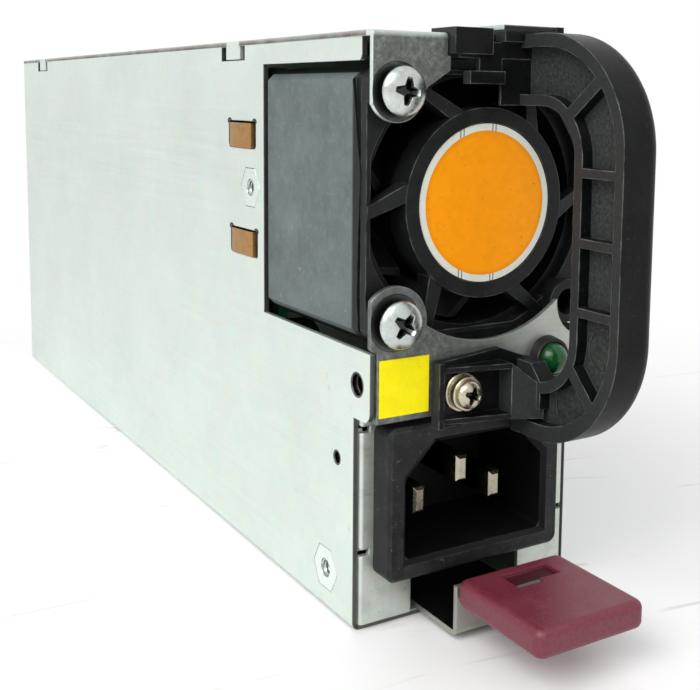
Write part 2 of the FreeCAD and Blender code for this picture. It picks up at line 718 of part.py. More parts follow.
def fan_guard():
    """Front of the fan: plate with corner bosses, six skewed struts and the hub disc."""
    plate = rounded_box(-guard_half, guard_half, guard_front, 0, fan_z - guard_half,
                        fan_z + guard_half, 3.0, 1)
    side = guard_half - 0.7
    opening = cyl_y(guard_r, guard_front - 1, 1, 0, fan_z).common(
        box(-side, side, guard_front - 1, 1, fan_z - side, fan_z + side))
    cup = cyl_y(hub_r, hub_front, 1.0, 0, fan_z)
    hollow = cyl_y(hub_r - 1.2, hub_front + disc_t, 2, 0, fan_z)
    seat = cyl_y(0.84 * hub_r, hub_front - 1, label_y, 0, fan_z)
    struts = [strut(51 + 60 * k) for k in range(6)]
    guard = join([plate.cut(opening), cup.cut([hollow, seat])] + struts + corner_holes(boss_r, boss_front, -0.1))
    window = box(-guard_half, guard_half, boss_front - 1, 2, fan_z - guard_half, fan_z + guard_half)
    return guard.common(window).cut(corner_holes(screw_hole, boss_front - 1, 1))


def hub_label_ring():
    """White sticker in the hub disc's shallow recess, with a round window."""
    return ring_y(0.84 * hub_r - 0.1, 0.76 * hub_r, label_y - 0.12, label_y)


def hub_label_disc():
    """Orange round of the hub sticker."""
    return cyl_y(0.76 * hub_r, label_y - 0.12, label_y, 0, fan_z)


def fan_screw(sign):
    """Self tapping screw through an ear into the fan's corner."""
    return pan_screw(-hole_off, fan_z + sign * hole_off, front_y + 0.35, screw_head, head_h, screw_r - 0.1, 13)


def bearing_tube():
    y0 = hub_front + disc_t
    return ring_y(tube_out, tube_in, y0, y0 + 16.0)


def fan_bearing(y0):
    """Small ball bearing drawn as one ring."""
    return ring_y(bearing_r, shaft_r + seam, y0, y0 + 2.2)


def fan_stator():
    """Laminated four pole stator pressed on the bearing tube."""
    y0 = hub_front + 5.5
    y1 = y0 + stator_l
    poles = []
    for k in range(4):
        arm = box(-1.4, 1.4, y0, y1, 0, stator_r - 1)
        shoe = cyl_y(stator_r, y0, y1, 0, 0).cut(cyl_y(stator_r - 1.4, y0 - 1, y1 + 1, 0, 0))
        shoe = shoe.common(box(-0.48 * stator_r, 0.48 * stator_r, y0 - 1, y1 + 1, 0, stator_r + 1))
        pole = arm.fuse(shoe)
        pole.rotate(V(0, 0, 0), V(0, 1, 0), 90 * k + 45)
        pole.translate(V(0, 0, fan_z))
        poles.append(pole)
    core = cyl_y(tube_out + 2.0, y0, y1, 0, fan_z)
    return join([core] + poles).cut(cyl_y(tube_out + seam, y0 - 1, y1 + 1, 0, fan_z))


def fan_motor_board():
    y0 = hub_front + 2.2
    return ring_y(hub_r - 2.6, tube_out + fit_gap, y0, y0 + 1.0)


def impeller_blade(turn):
    """One twisted blade between two bent sections, cut off at the running gap."""
    tip = bore_r - run_gap
    middle = (rotor_y + rotor_back) / 2
    half = 0.44 * impeller_l
    sections = []
    for r, chord, thick in ((cup_r - 0.5, 15, 1.3), (tip + 0.6, 11, 0.8)):
        line = [(-chord * 0.5, half), (chord * 0.06, half * 0.12), (chord * 0.5, -half * 0.96)]
        leading = [V(x - thick / 2, middle - y, r) for x, y in line]
        trailing = [V(x + thick / 2, middle - y, r) for x, y in reversed(line)]
        sections.append(Part.makePolygon(leading + trailing + leading[:1]))
    blade = Part.makeLoft(sections, True, True)
    blade.rotate(V(0, 0, 0), V(0, 1, 0), turn)
    blade.translate(V(0, 0, fan_z))
    return blade.common(cyl_y(tip, rotor_y, rotor_back, 0, fan_z))


def impeller():
    """Hub cup, closed at the rear, with its twisted blades."""
    cup = cyl_y(cup_r, rotor_y, rotor_back, 0, fan_z).cut(
        cyl_y(magnet_r, rotor_y - 1, rotor_back - 1.6, 0, fan_z))
    boss = cyl_y(bearing_r, rotor_back - 4.0, rotor_back - 1, 0, fan_z)
    blades = [impeller_blade(360.0 / blade_count * k) for k in range(blade_count)]
    return join([cup, boss] + blades).cut(cyl_y(shaft_r, rotor_y, rotor_back - 0.8, 0, fan_z))


def impeller_shaft():
    return cyl_y(shaft_r, hub_front + disc_t + run_gap, rotor_back - 0.8, 0, fan_z)


def rotor_ring():
    """Magnet ring inside the hub cup."""
    return ring_y(magnet_r, magnet_r - magnet_t, rotor_y + 1.0, rotor_y + 14.0)


def bent_lead(x0, y0, x1, y1, z, radius):
    """Round lead along Y from (x0, y0) that bends at y1 and runs across to x1."""
    bend = 2.5 * radius
    side = 1 if x1 > x0 else -1
    first = cyl_y(radius, y0, y1 - bend, x0, z)
    elbow = Part.Face(Part.Wire(Part.makeCircle(radius, V(x0, y1 - bend, z), V(0, 1, 0))))
    elbow = elbow.revolve(V(x0 + side * bend, y1 - bend, z), V(0, 0, -side), 90)
    low, high = sorted((x0 + side * bend, x1))
    return join([first, elbow, cyl_x(radius, low, high, y1, z)])


def fan_lead():
    """Sleeved lead from the fan's rear to its plug on the board."""
    return bent_lead(fan_half - 4.5, frame_back + fit_gap, board_face + 9.0 + fit_gap, plug_y, plug_z, lead_r - 0.1)


def fan_plug():
    return rounded_box(board_face, board_face + 9.0, plug_y - 3.4, plug_y + 3.4, plug_z - 2.4, plug_z + 2.4,
                       0.5, 0)


def inlet_lead(index):
    """Sleeved wire from an inlet tag to the board."""
    x, z = pin_places()[index]
    y = board_front + (3.5, 8.5, 6.0)[index]
    return bent_lead(x, tag_back + fit_gap, board_face + seam, y, z, lead_r)


def latch_strip():
    """Spring strip: flat part on the underside, riser to the tab and a catch tooth."""
    w = latch_w / 2
    core_z = tab_low + tab_t / 2
    flat = box(-w, w, riser_y, hinge_y - 0.15, strip_z, strip_z + latch_t)
    riser = box(-w, w, riser_y, riser_y + latch_t, strip_z, core_z + latch_t / 2)
    arm = box(-w + 1.6, w - 1.6, -latch_reach + 3.0, riser_y + latch_t, core_z - latch_t / 2,
              core_z + latch_t / 2)
    strip = join([flat, riser, arm])
    bend = [e for e in strip.Edges if along(0, e) and near(e.Vertexes[0].Y, riser_y)
            and near(e.Vertexes[0].Z, strip_z)]
    strip = strip.makeFillet(1.1, bend)
    tooth = plate_yz([(12.2, strip_z + 0.1), (12.2, 0.1), (13.6, 0.1), (12.2 + catch_l, strip_z + 0.1)], -3.0, 3.0)
    lighten = rounded_box(-w + 4.4, w - 4.4, 20.0, 25.0, 0, 5, 1.2, 2)
    return join([strip, tooth]).cut(lighten)


def latch_tab():
    """Maroon moulded grip on the strip's front, with a small window in its top."""
    w = tab_w / 2
    top = tab_low + tab_t
    core_z = tab_low + tab_t / 2
    tab = box(-w, w, -latch_reach, -latch_reach + tab_l, tab_low, top)
    tab = tab.makeFillet(1.5, [e for e in tab.Edges if along(2, e)])
    rims = [e for e in tab.Edges if near(e.BoundBox.ZMin, e.BoundBox.ZMax)]
    tab = tab.makeFillet(1.2, rims)
    core = box(-latch_w / 2 + 1.5, latch_w / 2 - 1.5, -latch_reach + 2.9, riser_y + 1,
               core_z - latch_t / 2 - seam, core_z + latch_t / 2 + seam)
    y = -latch_reach + tab_l - 2.5
    recess = box(-3.4, 4.9, y - 3.3, y, top - 0.5, top + 1)
    window = box(-3.4, 1.1, y - 4.3, y - 3.0, core_z + latch_t / 2, top + 1)
    return tab.cut([core, recess, window])


def latch_root():
    """Rear end of the spring strip, riveted down on the underside."""
    w = latch_w / 2
    root = box(-w, w, hinge_y + 0.15, hinge_y + 17, strip_z, strip_z + latch_t)
    root = root.makeChamfer(1.5, [e for e in root.Edges if along(2, e) and e.Vertexes[0].Y > hinge_y + 1])
    return root.cut([cyl_z(1.1, 0, 4, x, y) for x, y in rivet_places()])


def latch_rivet(index):
    x, y = rivet_places()[index]
    top = strip_z + latch_t
    shank = cyl_z(1.05, 0.2, top, x, y)
    return join([shank, Part.makeCone(2.0, 1.2, 0.8, V(x, y, top), V(0, 0, 1))])


def lamp_lens():
    """Green lamp: a cylinder with a domed front."""
    x, z = lamp_place()
    front = front_y - 1.2
    dome = Part.makeSphere(lamp_r, V(x, front, z)).common(box(x - 4, x + 4, front - 4, front, z - 4, z + 4))
    return join([cyl_y(lamp_r, front, 2.0, x, z), dome])


def lamp_ring():
    """Black clip that holds the lamp in the bracket."""
    x, z = lamp_place()
    rim = cone_y(lamp_r + 0.7 * clip_t, lamp_r + clip_t, front_y - 1.7, front_y, x, z)
    neck = cyl_y(lamp_r + 0.4, front_y - 0.01, front_y + 3.4, x, z)
    return join([rim, neck]).cut(cyl_y(lamp_r + seam, front_y - 3, 3, x, z))


def ground_spring(index):
    """Copper finger that bulges through a window of the left wall."""
    y, z = spring_places()[index]
    inside = -inner_x + 0.25
    out = -half_w - 0.1
    outline = [(inside, y + 8.0), (inside, y + 5.0), (out, y + 3.6), (out, y - 3.0), (inside + 0.4, y - 4.7),
               (inside + 0.8, y - 4.7), (out + 0.35, y - 2.8), (out + 0.35, y + 3.4),
               (inside + 0.35, y + 5.2), (inside + 0.35, y + 8.0)]
    return plate_xy(outline, z - 1.9, z + 1.9)


def wall_insert(index):
    """Hexagonal clinch insert flush in the left wall, with a threaded bore."""
    y, z = insert_places()[index]
    depth = board_x - fit_gap if index == 0 else -inner_x + 1.8
    flat = hexagon_x(6.3, -half_w, -inner_x + 0.05, y, z)
    barrel = cyl_x(2.5, -inner_x, depth, y, z)
    return join([flat, barrel]).cut(cyl_x(1.45, -half_w - 1, depth + 1, y, z))


def main_board():
    """Main circuit board with its card edge beyond the rear wall."""
    end = case_l + tongue_out
    body = box(board_x, board_face, board_front, board_back, board_low, board_top)
    tongue = box(board_x, board_face, board_back - 1, end, tongue_low, tongue_high)
    tongue = tongue.makeChamfer(0.4, [e for e in tongue.Edges if along(2, e) and near(e.Vertexes[0].Y, end)])
    y, z = insert_places()[0]
    keyway = box(board_x - 1, board_face + 1, case_l + 1.5, end + 1, key_z, key_z + 1.8)
    return join([body, tongue]).cut([keyway, cyl_x(1.6, board_x - 1, board_face + 1, y, z)])


def board_screw():
    """Screw that holds the board to the upper wall insert."""
    y, z = insert_places()[0]
    head = cyl_x(2.6, board_face, board_face + 1.8, y, z)
    shank = cyl_x(1.3, board_x - 3.0, board_face + 0.01, y, z)
    slot = box(board_face + 0.9, board_face + 3, y - 0.4, y + 0.4, z - 4, z + 4)
    return join([head, shank]).cut(slot)


def contact_row(x0, z0, z1, pitch):
    """Contact pads of one stretch of the card edge."""
    count = int((z1 - z0) / pitch)
    width = 0.76 * pitch
    return [box(x0, x0 + 0.08, case_l + 0.6, case_l + tongue_out - 0.9, z0 + k * pitch, z0 + k * pitch + width)
            for k in range(count)]


def card_contacts(side):
    """Gold contacts on one face of the card edge: wide power pads and narrow signal ones."""
    x0 = board_face if side > 0 else board_x - 0.08
    pads = contact_row(x0, tongue_low + 0.8, key_z - 0.2, 7.0)
    pads = pads + contact_row(x0, key_z + 2.8, tongue_high - 0.4, 2.54)
    rail = box(x0, x0 + 0.08, case_l + 0.2, case_l + 0.8, tongue_low + 0.8, tongue_high - 0.8)
    return join(pads + [rail])


def board_insulator():
    """Plastic sheet between the board and the left wall."""
    x0 = -inner_x + 1.5
    y, z = insert_places()[0]
    sheet = box(x0, x0 + 0.35, board_front + 1, board_back - 1, board_low - 1.0, board_top + 1)
    room = [cyl_x(3.4, x0 - 1, x0 + 1, y, z)]
    for sy, sz in spring_places():
        room.append(box(x0 - 1, x0 + 1, board_front, sy + 9.5, sz - 3.2, sz + 3.2))
    return sheet.cut(room)


def can_capacitor(y, z, radius, height):
    """Round capacitor standing on the board, with a crimped neck."""
    neck = 0.92 * radius
    body = cyl_x(radius, board_face + 2.6, board_face + height, y, z)
    crimp = cyl_x(neck, board_face + 1.4, board_face + 2.7, y, z)
    return join([cyl_x(radius, board_face, board_face + 1.5, y, z), crimp, body])


def turned_skin(radii, y, z, turns):
    """Many sided solid round an axis along X, one side for each turn of wire."""
    wires = []
    for x, r in radii:
        corners = [V(x, y + r * math.cos(2 * math.pi * k / turns), z + r * math.sin(2 * math.pi * k / turns))
                   for k in range(turns)]
        wires.append(Part.makePolygon(corners + corners[:1]))
    return Part.makeLoft(wires, True, True)


def coil(y, z, outer, height):
    """Ring core with its winding, standing flat on the board on two feet."""
    inner = 0.44 * outer
    bevel = 0.15 * outer
    low, top = board_face + 0.6, board_face + height
    skin = turned_skin([(low, outer - bevel), (low + bevel, outer), (top - bevel, outer), (top, outer - bevel)],
                       y, z, 20)
    eye = turned_skin([(low, inner + bevel), (low + bevel, inner), (top - bevel, inner), (top, inner + bevel)],
                      y, z, 20)
    feet = [box(board_face, low + 1, y + s * 0.72 * outer - 0.6, y + s * 0.72 * outer + 0.6, z - 0.6, z + 0.6)
            for s in (-1, 1)]
    return join([skin.cut(eye)] + feet)


def block(y, z, length, width, height, radius):
    """Moulded block on the board with rounded upright edges."""
    return rounded_box(board_face, board_face + height, y - length / 2, y + length / 2, z - width / 2,
                       z + width / 2, radius, 0)


def transformer():
    """Main transformer: ferrite frame round a wound bobbin."""
    height = 0.86 * board_room
    core = box(board_face + 2, board_face + height, trafo_y - trafo_l / 2, trafo_y + trafo_l / 2,
               lane_z - 6, lane_z + 6)
    bobbin = rounded_box(board_face, board_face + height - 4, trafo_y - 0.32 * trafo_l,
                         trafo_y + 0.32 * trafo_l, lane_z - trafo_w / 2, lane_z + trafo_w / 2, 3.0, 0)
    return join([core, bobbin])


def heatsink(y, z, length):
    """Upright cooling plate with fins along its upper edge."""
    high = board_face + 0.88 * board_room
    plate = box(board_face, high, y - length / 2, y + length / 2, z, z + sink_t)
    fins = [box(board_face + 3, high, y - length / 2 + k, y - length / 2 + k + 1.2, z + sink_t - 0.1,
                z + sink_t + fin_h) for k in range(0, int(length) - 1, 5)]
    return join([plate] + fins)


def transistor_row(y, z, count, pitch):
    """Power transistors pressed against a cooling plate and held by a rail."""
    bodies = []
    for k in range(count):
        c = y + (k - (count - 1) / 2) * pitch
        bodies.append(box(board_face + 4, board_face + 19, c - 4.8, c + 4.8, z - 4.4, z - 0.05))
        for s in (-2.5, 0, 2.5):
            bodies.append(box(board_face, board_face + 4.1, c + s - 0.5, c + s + 0.5, z - 2.6, z - 2.0))
    rail = box(board_face + 15, board_face + 17, y - count * pitch / 2, y + count * pitch / 2, z - 5.4, z - 4.2)
    return join(bodies + [rail])


def control_board():
    """Small upright board that carries the control chip."""
    z = board_low + 11.1
    board = box(board_face, board_face + 0.62 * board_room, trafo_y - 18, trafo_y + 18, z, z + 1.2)
    chip = box(board_face + 7, board_face + 14, trafo_y - 3.5, trafo_y + 3.5, z + 1.1, z + 2.6)
    return join([board, chip])


def fuse_tube():
    """Glass fuse with end caps, lying along the board on two legs."""
    y = board_front + 18
    x, z = board_face + 4.0, board_low + 4.4
    half = fuse_l / 2
    tube = cyl_y(2.4, y - half + 1, y + half - 1, x, z)
    caps = [cyl_y(2.7, y - half, y - half + 5, x, z), cyl_y(2.7, y + half - 5, y + half, x, z)]
    legs = [box(board_face, x - 1.0, y + c - 0.6, y + c + 0.6, z - 0.8, z + 0.8)
            for c in (2.5 - half, half - 2.5)]
    return join([tube] + caps + legs)


pieces = {
    "chassis_base": chassis_base,
    "chassis_cover": chassis_cover,
    "front_plate": front_plate,
    "front_bracket": front_bracket,
    "pad_label": pad_label,
    "inlet_housing": inlet_housing,
    "inlet_pin_line": lambda: inlet_pin(0),
    "inlet_pin_neutral": lambda: inlet_pin(1),
    "inlet_pin_earth": lambda: inlet_pin(2),
    "handle": handle,
    "handle_washer": handle_washer,
    "handle_screw": handle_screw,
    "fan_frame": fan_frame,
    "fan_guard": fan_guard,
    "hub_label_ring": hub_label_ring,
    "hub_label_disc": hub_label_disc,
    "fan_screw_upper": lambda: fan_screw(1),
    "fan_screw_lower": lambda: fan_screw(-1),
    "fan_bearing_tube": bearing_tube,
    "fan_bearing_front": lambda: fan_bearing(hub_front + 2.6),
    "fan_bearing_rear": lambda: fan_bearing(hub_front + 14.6),
    "fan_stator": fan_stator,
    "fan_motor_board": fan_motor_board,
    "impeller": impeller,
    "impeller_shaft": impeller_shaft,
    "rotor_ring": rotor_ring,
    "fan_lead": fan_lead,
    "fan_plug": fan_plug,
    "latch_strip": latch_strip,
    "latch_tab": latch_tab,
    "latch_root": latch_root,
    "latch_rivet_left": lambda: latch_rivet(0),
    "latch_rivet_right": lambda: latch_rivet(1),
    "lamp_lens": lamp_lens,
    "lamp_ring": lamp_ring,
    "ground_spring_upper": lambda: ground_spring(0),
    "ground_spring_lower": lambda: ground_spring(1),
    "wall_insert_upper": lambda: wall_insert(0),
    "wall_insert_lower": lambda: wall_insert(1),
    "main_board": main_board,
    "board_screw": board_screw,
    "card_contacts_left": lambda: card_contacts(-1),
    "card_contacts_right": lambda: card_contacts(1),
    "board_insulator": board_insulator,
    "bulk_capacitor": lambda: can_capacitor(bulk_y, lane_z, bulk_r, 0.94 * board_room),
    "output_capacitor": lambda: can_capacitor(output_y, key_z + 20.0, output_r, 0.7 * board_room),
    "filter_choke": lambda: coil(choke_y, board_low + 23.8, filter_r, 15.0),
    "boost_choke": lambda: coil(choke_y, lane_z, boost_r, 18.0),
    "output_choke": lambda: coil(output_y, board_low + 24.0, choke_r, 16.0),
    "filter_capacitor": lambda: block(bulk_y, board_low + 10.3, film_l, film_w, 17.0, 1.2),
    "relay": lambda: block(bulk_y, board_low + 24.0, relay_l, relay_w, 16.0, 0.6),
    "main_transformer": transformer,
    "heatsink_primary": lambda: heatsink(sink_y, sink_z, sink_l),
    "heatsink_secondary": lambda: heatsink(rear_sink_y, board_top - 12.0, rear_sink_l),
    "transistors_primary": lambda: transistor_row(sink_y, sink_z, 4, 13.0),
    "control_board": control_board,
    "fuse_tube": fuse_tube,
    "inlet_lead_line": lambda: inlet_lead(0),
    "inlet_lead_neutral": lambda: inlet_lead(1),
    "inlet_lead_earth": lambda: inlet_lead(2),
}

os.makedirs("parts", exist_ok=True)
for name, make in pieces.items():
    shape = make()
    shape.translate(V(0, -case_l / 2, 0))
    shape.exportStep("parts/" + name + ".step")
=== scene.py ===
"""Looks of the hot swap server power supply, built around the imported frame.

The frame's axes are X across, Y from the front to the rear and Z up, in metres.
"""
import json
import math
import bmesh
import bpy
from mathutils import Matrix, Vector


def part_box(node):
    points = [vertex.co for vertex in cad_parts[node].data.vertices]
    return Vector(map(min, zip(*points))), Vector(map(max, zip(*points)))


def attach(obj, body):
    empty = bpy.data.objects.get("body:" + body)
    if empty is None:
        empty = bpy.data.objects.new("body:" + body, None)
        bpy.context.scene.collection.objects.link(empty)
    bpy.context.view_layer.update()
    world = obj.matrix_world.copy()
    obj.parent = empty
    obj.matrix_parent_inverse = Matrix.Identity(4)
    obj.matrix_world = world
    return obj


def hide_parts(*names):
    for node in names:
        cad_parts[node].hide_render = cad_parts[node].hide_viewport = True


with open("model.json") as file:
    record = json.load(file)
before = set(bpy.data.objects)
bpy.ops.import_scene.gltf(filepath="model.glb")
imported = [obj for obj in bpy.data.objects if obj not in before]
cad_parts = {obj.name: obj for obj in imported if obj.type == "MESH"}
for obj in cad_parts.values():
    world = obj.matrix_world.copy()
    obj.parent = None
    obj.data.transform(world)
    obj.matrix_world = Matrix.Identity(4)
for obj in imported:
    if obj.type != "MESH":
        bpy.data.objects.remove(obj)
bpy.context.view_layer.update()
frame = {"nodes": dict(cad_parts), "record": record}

MM = 0.001
FACE_ON = -0.3                 # Y of a normal, below which a face looks to the front
TAB_PLACES = (-52.9, 74.5)     # middles of the cover's two folded tabs along Y, in millimetres
FAN_SCREWS = ("fan_screw_upper", "fan_screw_lower")

front_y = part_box("front_plate")[0].y
left_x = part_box("chassis_cover")[0].x      # outer face of the left wall


def middle(name):
    """Centre of a node's box, in millimetres."""
    low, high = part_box(name)
    return (low + high) / 2 / MM


def linked(name, data):
    """Object that shows some data in the scene."""
    made = bpy.data.objects.new(name, data)
    bpy.context.scene.collection.objects.link(made)
    return made


# Camera

def turn_and_tilt(yaw, pitch, roll):
    """Right, up and forward directions of a camera turned from +Y towards +X and tilted down."""
    forward = Vector((math.sin(yaw) * math.cos(pitch), math.cos(yaw) * math.cos(pitch), -math.sin(pitch)))
    level = Vector((math.cos(yaw), -math.sin(yaw), 0.0))
    above = level.cross(forward)
    right = level * math.cos(roll) + above * math.sin(roll)
    up = above * math.cos(roll) - level * math.sin(roll)
    return right, up, forward


def add_camera():
    """Camera ahead of the left front corner, a little below the top of the case."""
    right, up, forward = turn_and_tilt(yaw=math.radians(31.89), pitch=math.radians(6.77), roll=math.radians(0.63))
    data = bpy.data.cameras.new("camera")
    data.sensor_width = 36.0
    data.lens = 55.8
    data.shift_x = -0.065
    data.shift_y = -0.171
    data.clip_start = 0.01
    camera = linked("camera", data)
    camera.matrix_world = Matrix((
        (right.x, up.x, -forward.x, -94.4 * MM),
        (right.y, up.y, -forward.y, front_y - 130.1 * MM),
        (right.z, up.z, -forward.z, 77.7 * MM),
        (0.0, 0.0, 0.0, 1.0)))
    bpy.context.scene.camera = camera


# Materials

class Shade:
    """A node material built up step by step around one Principled shader."""

    def __init__(self, name):
        self.material = bpy.data.materials.new(name)
        self.material.use_nodes = True
        self.tree = self.material.node_tree
        self.shader = self.tree.nodes["Principled BSDF"]
        source = self.tree.nodes.new("ShaderNodeTexCoord")
        self.place = source.outputs["Object"]
        self.x, self.y, self.z = self.split(self.place)
        self.across, self.along, self.upward = self.split(source.outputs["Normal"])

    def split(self, vector):
        made = self.tree.nodes.new("ShaderNodeSeparateXYZ")
        self.tree.links.new(vector, made.inputs[0])
        return made.outputs[0], made.outputs[1], made.outputs[2]

    def set_or_link(self, socket, value):
        """Link another node's output, or set a number or colour on the socket itself."""
        if isinstance(value, bpy.types.NodeSocket):
            self.tree.links.new(value, socket)
        elif isinstance(value, tuple) and len(value) == 3 and len(socket.default_value) == 4:
            socket.default_value = (*value, 1.0)
        else:
            socket.default_value = value

    def node(self, kind, **inputs):
        """Node of a kind with its inputs by name, where _ stands for a space."""
        made = self.tree.nodes.new(kind)
        for key, value in inputs.items():
            self.set_or_link(made.inputs[key.replace("_", " ")], value)
        return made

    def stretched(self, size, turn=(0, 0, 0)):
        """Object coordinates scaled so that one unit is size millimetres along each axis."""
        made = self.node("ShaderNodeMapping", Vector=self.place, Rotation=turn,
                         Scale=tuple(1000.0 / s for s in size))
        return made.outputs["Vector"]

    def noise(self, size, detail=3.0, rough=0.55, turn=(0, 0, 0)):
        """Cloudy noise; size in millimetres is one number or one for each axis."""
        size = size if isinstance(size, tuple) else (size, size, size)
        made = self.node("ShaderNodeTexNoise", Scale=1.0, Detail=detail, Roughness=rough,
                         Vector=self.stretched(size, turn))
        return made.outputs["Fac"]

    def cells(self, size):
        """Random colour for each cell of a size in millimetres."""
        made = self.node("ShaderNodeTexVoronoi", Scale=1.0, Vector=self.stretched((size, size, size)))
        return made.outputs["Color"]

    def ramp(self, value, *stops):
        """Map a value through (position, level) stops; a level is a number or a colour."""
        made = self.node("ShaderNodeValToRGB", Fac=value)
        row = made.color_ramp.elements
        while len(row) < len(stops):
            row.new(1.0)
        for element, (position, level) in zip(row, stops):
            element.position = position
            element.color = (*level, 1.0) if isinstance(level, tuple) else (level, level, level, 1.0)
        return made.outputs["Color"]

    def math(self, how, *values):
        made = self.tree.nodes.new("ShaderNodeMath")
        made.operation = how
        for socket, value in zip(made.inputs, values):
            self.set_or_link(socket, value)
        return made.outputs["Value"]

    def both(self, *masks):
        """Product of all the masks."""
        product = masks[0]
        for mask in masks[1:]:
            product = self.math("MULTIPLY", product, mask)
        return product

    def rise(self, value, low, high):
        """0 to 1 while a value goes from low to high."""
        made = self.node("ShaderNodeMapRange", Value=value, From_Min=low, From_Max=high)
        return made.outputs["Result"]

    def above(self, value, limit, soft=0.0):
        """1 where a value passes a limit, with a soft edge."""
        if not soft:
            return self.math("GREATER_THAN", value, limit)
        return self.rise(value, limit - soft, limit + soft)

    def below(self, value, limit, soft=0.0):
        return self.math("SUBTRACT", 1.0, self.above(value, limit, soft))

    def between(self, value, low, high):
        """1 where a value lies between two limits."""
        return self.both(self.above(value, low), self.below(value, high))

    def offset(self, value, place):
        """Way from a place to a value, with its sign."""
        return self.math("SUBTRACT", value, place)

    def gap(self, value, place):
        """Distance of a value from a place."""
        return self.math("ABSOLUTE", self.offset(value, place))

    def length(self, a, b):
        """Length of the vector with two given parts."""
        return self.math("SQRT", self.math("ADD", self.both(a, a), self.both(b, b)))

    def from_axis(self, centre):
        """Distance in the front plane from a centre in millimetres."""
        return self.length(self.offset(self.x, centre.x * MM), self.offset(self.z, centre.z * MM))

    def mix(self, fac, a, b, how="MIX"):
        """Colour that goes from a to b with a mask."""
        made = self.tree.nodes.new("ShaderNodeMix")
        made.data_type = "RGBA"
        made.blend_type = how
        for socket, value in ((made.inputs[0], fac), (made.inputs[6], a), (made.inputs[7], b)):
            self.set_or_link(socket, value)
        return made.outputs[2]

    def rounded(self, radius):
        """Normal of the surface with its corners rounded by a radius in millimetres."""
        made = self.node("ShaderNodeBevel", Radius=radius * MM)
        made.samples = 4
        return made.outputs["Normal"]

    def corners(self, rounded):
        """1 on outward corners, from the rounded normal and the open space around the point."""
        plain = self.tree.nodes.new("ShaderNodeNewGeometry").outputs["Normal"]
        turned = self.tree.nodes.new("ShaderNodeVectorMath")
        turned.operation = "DOT_PRODUCT"
        self.tree.links.new(rounded, turned.inputs[0])
        self.tree.links.new(plain, turned.inputs[1])
        bend = self.below(turned.outputs["Value"], 0.955, 0.035)
        around = self.node("ShaderNodeAmbientOcclusion", Distance=0.5 * MM)
        around.samples = 4
        around.only_local = True
        return self.both(bend, self.above(around.outputs["AO"], 0.78, 0.14))

    def bump(self, height, depth, below=None):
        """Bump of a depth in millimetres, optionally on top of another normal."""
        made = self.node("ShaderNodeBump", Height=height, Distance=depth * MM)
        if below is not None:
            self.tree.links.new(below, made.inputs["Normal"])
        return made.outputs["Normal"]

    def finish(self, **inputs):
        """Set the shader's inputs by name and give the material."""
        for key, value in inputs.items():
            self.set_or_link(self.shader.inputs[key.replace("_", " ")], value)
        return self.material


def tint(colour, by):
    return tuple(c * by for c in colour)


def speckle(s, size, amount, low=0.70):
    """Small scattered spots."""
    return s.both(s.ramp(s.noise(size, 2.0, 0.7), (low, 0.0), (low + 0.08, 1.0)), amount)


def sheet_metal(name, colour, rough=0.42, marks=None):
    """Zinc coated sheet: faint cloudy patches, crystal spangle, streaks of rubbing, small specks and painted
    highlights on outward corners.
    """
    s = Shade(name)
    tone = s.ramp(s.noise(22.0, 4.0), (0.3, tint(colour, 0.92)), (0.7, colour))
    tone = s.mix(0.05, tone, s.cells(2.4), "OVERLAY")
    tone = s.mix(speckle(s, 1.6, 0.25), tone, tint(colour, 0.5))
    if marks:
        tone = marks(s, tone)
    streak = s.noise((26.0, 30.0, 0.5), 2.0, turn=(0.5, 0.1, 0.0))
    gloss = s.ramp(streak, (0.35, rough - 0.07), (0.7, rough + 0.10))
    round_normal = s.rounded(0.3)
    # Painted highlight: outward corners made lighter.
    tone = s.mix(s.both(s.corners(round_normal), 0.35), tone, tint(colour, 1.12))
    uneven = s.bump(s.noise(9.0, 2.0), 0.05, below=round_normal)
    return s.finish(Base_Color=tone, Metallic=0.8, Roughness=gloss,
                    Normal=s.bump(s.noise(0.35, 2.0), 0.004, below=uneven))


def shaded_ear_grey(s):
    """Mottled grey of handled zinc plate, kept dark as painted shade."""
    fine = s.noise(1.1, 5.0, 0.75)
    # Dark grey levels: painted shade in place of a darker reflection.
    return s.ramp(fine, (0.30, (0.085, 0.092, 0.085)), (0.52, (0.15, 0.162, 0.152)), (0.72, (0.28, 0.30, 0.28)))


def dish(s, tone, screw):
    """Painted shade in the sunk seat around a fan screw, with a painted highlight on its rim."""
    away = s.from_axis(middle(screw))
    facing = s.both(s.below(s.y, -97 * MM), s.below(s.along, FACE_ON))
    # Painted highlight on the seat's rim.
    rim = s.both(facing, s.below(away, 3.95 * MM, 0.06 * MM))
    tone = s.mix(s.both(rim, 0.6), tone, (0.40, 0.43, 0.40))
    # Painted shade in the seat, darkest next to the screw.
    seat = s.both(facing, s.below(away, 3.78 * MM, 0.10 * MM))
    depth = s.rise(away, 3.0 * MM, 3.9 * MM)
    return s.mix(seat, tone, s.ramp(depth, (0.0, (0.010, 0.011, 0.011)), (1.0, (0.075, 0.080, 0.076))))


def side_hole_shade(s, tone):
    """Painted black shade in the two round holes near the front of the left wall."""
    upper = (front_y / MM - 0.4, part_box("fan_frame")[0].z / MM - 5.8, 1.85)
    lower = (front_y / MM + 5.4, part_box("front_plate")[1].z / MM - 7.0, 1.15)
    for y, z, radius in (upper, lower):
        away = s.length(s.offset(s.y, y * MM), s.offset(s.z, z * MM))
        hole = s.both(s.below(away, radius * MM, 0.05 * MM), s.below(s.x, -16 * MM))
        # Painted shade: near black over each round hole.
        tone = s.mix(hole, tone, (0.006, 0.006, 0.006))
    return tone


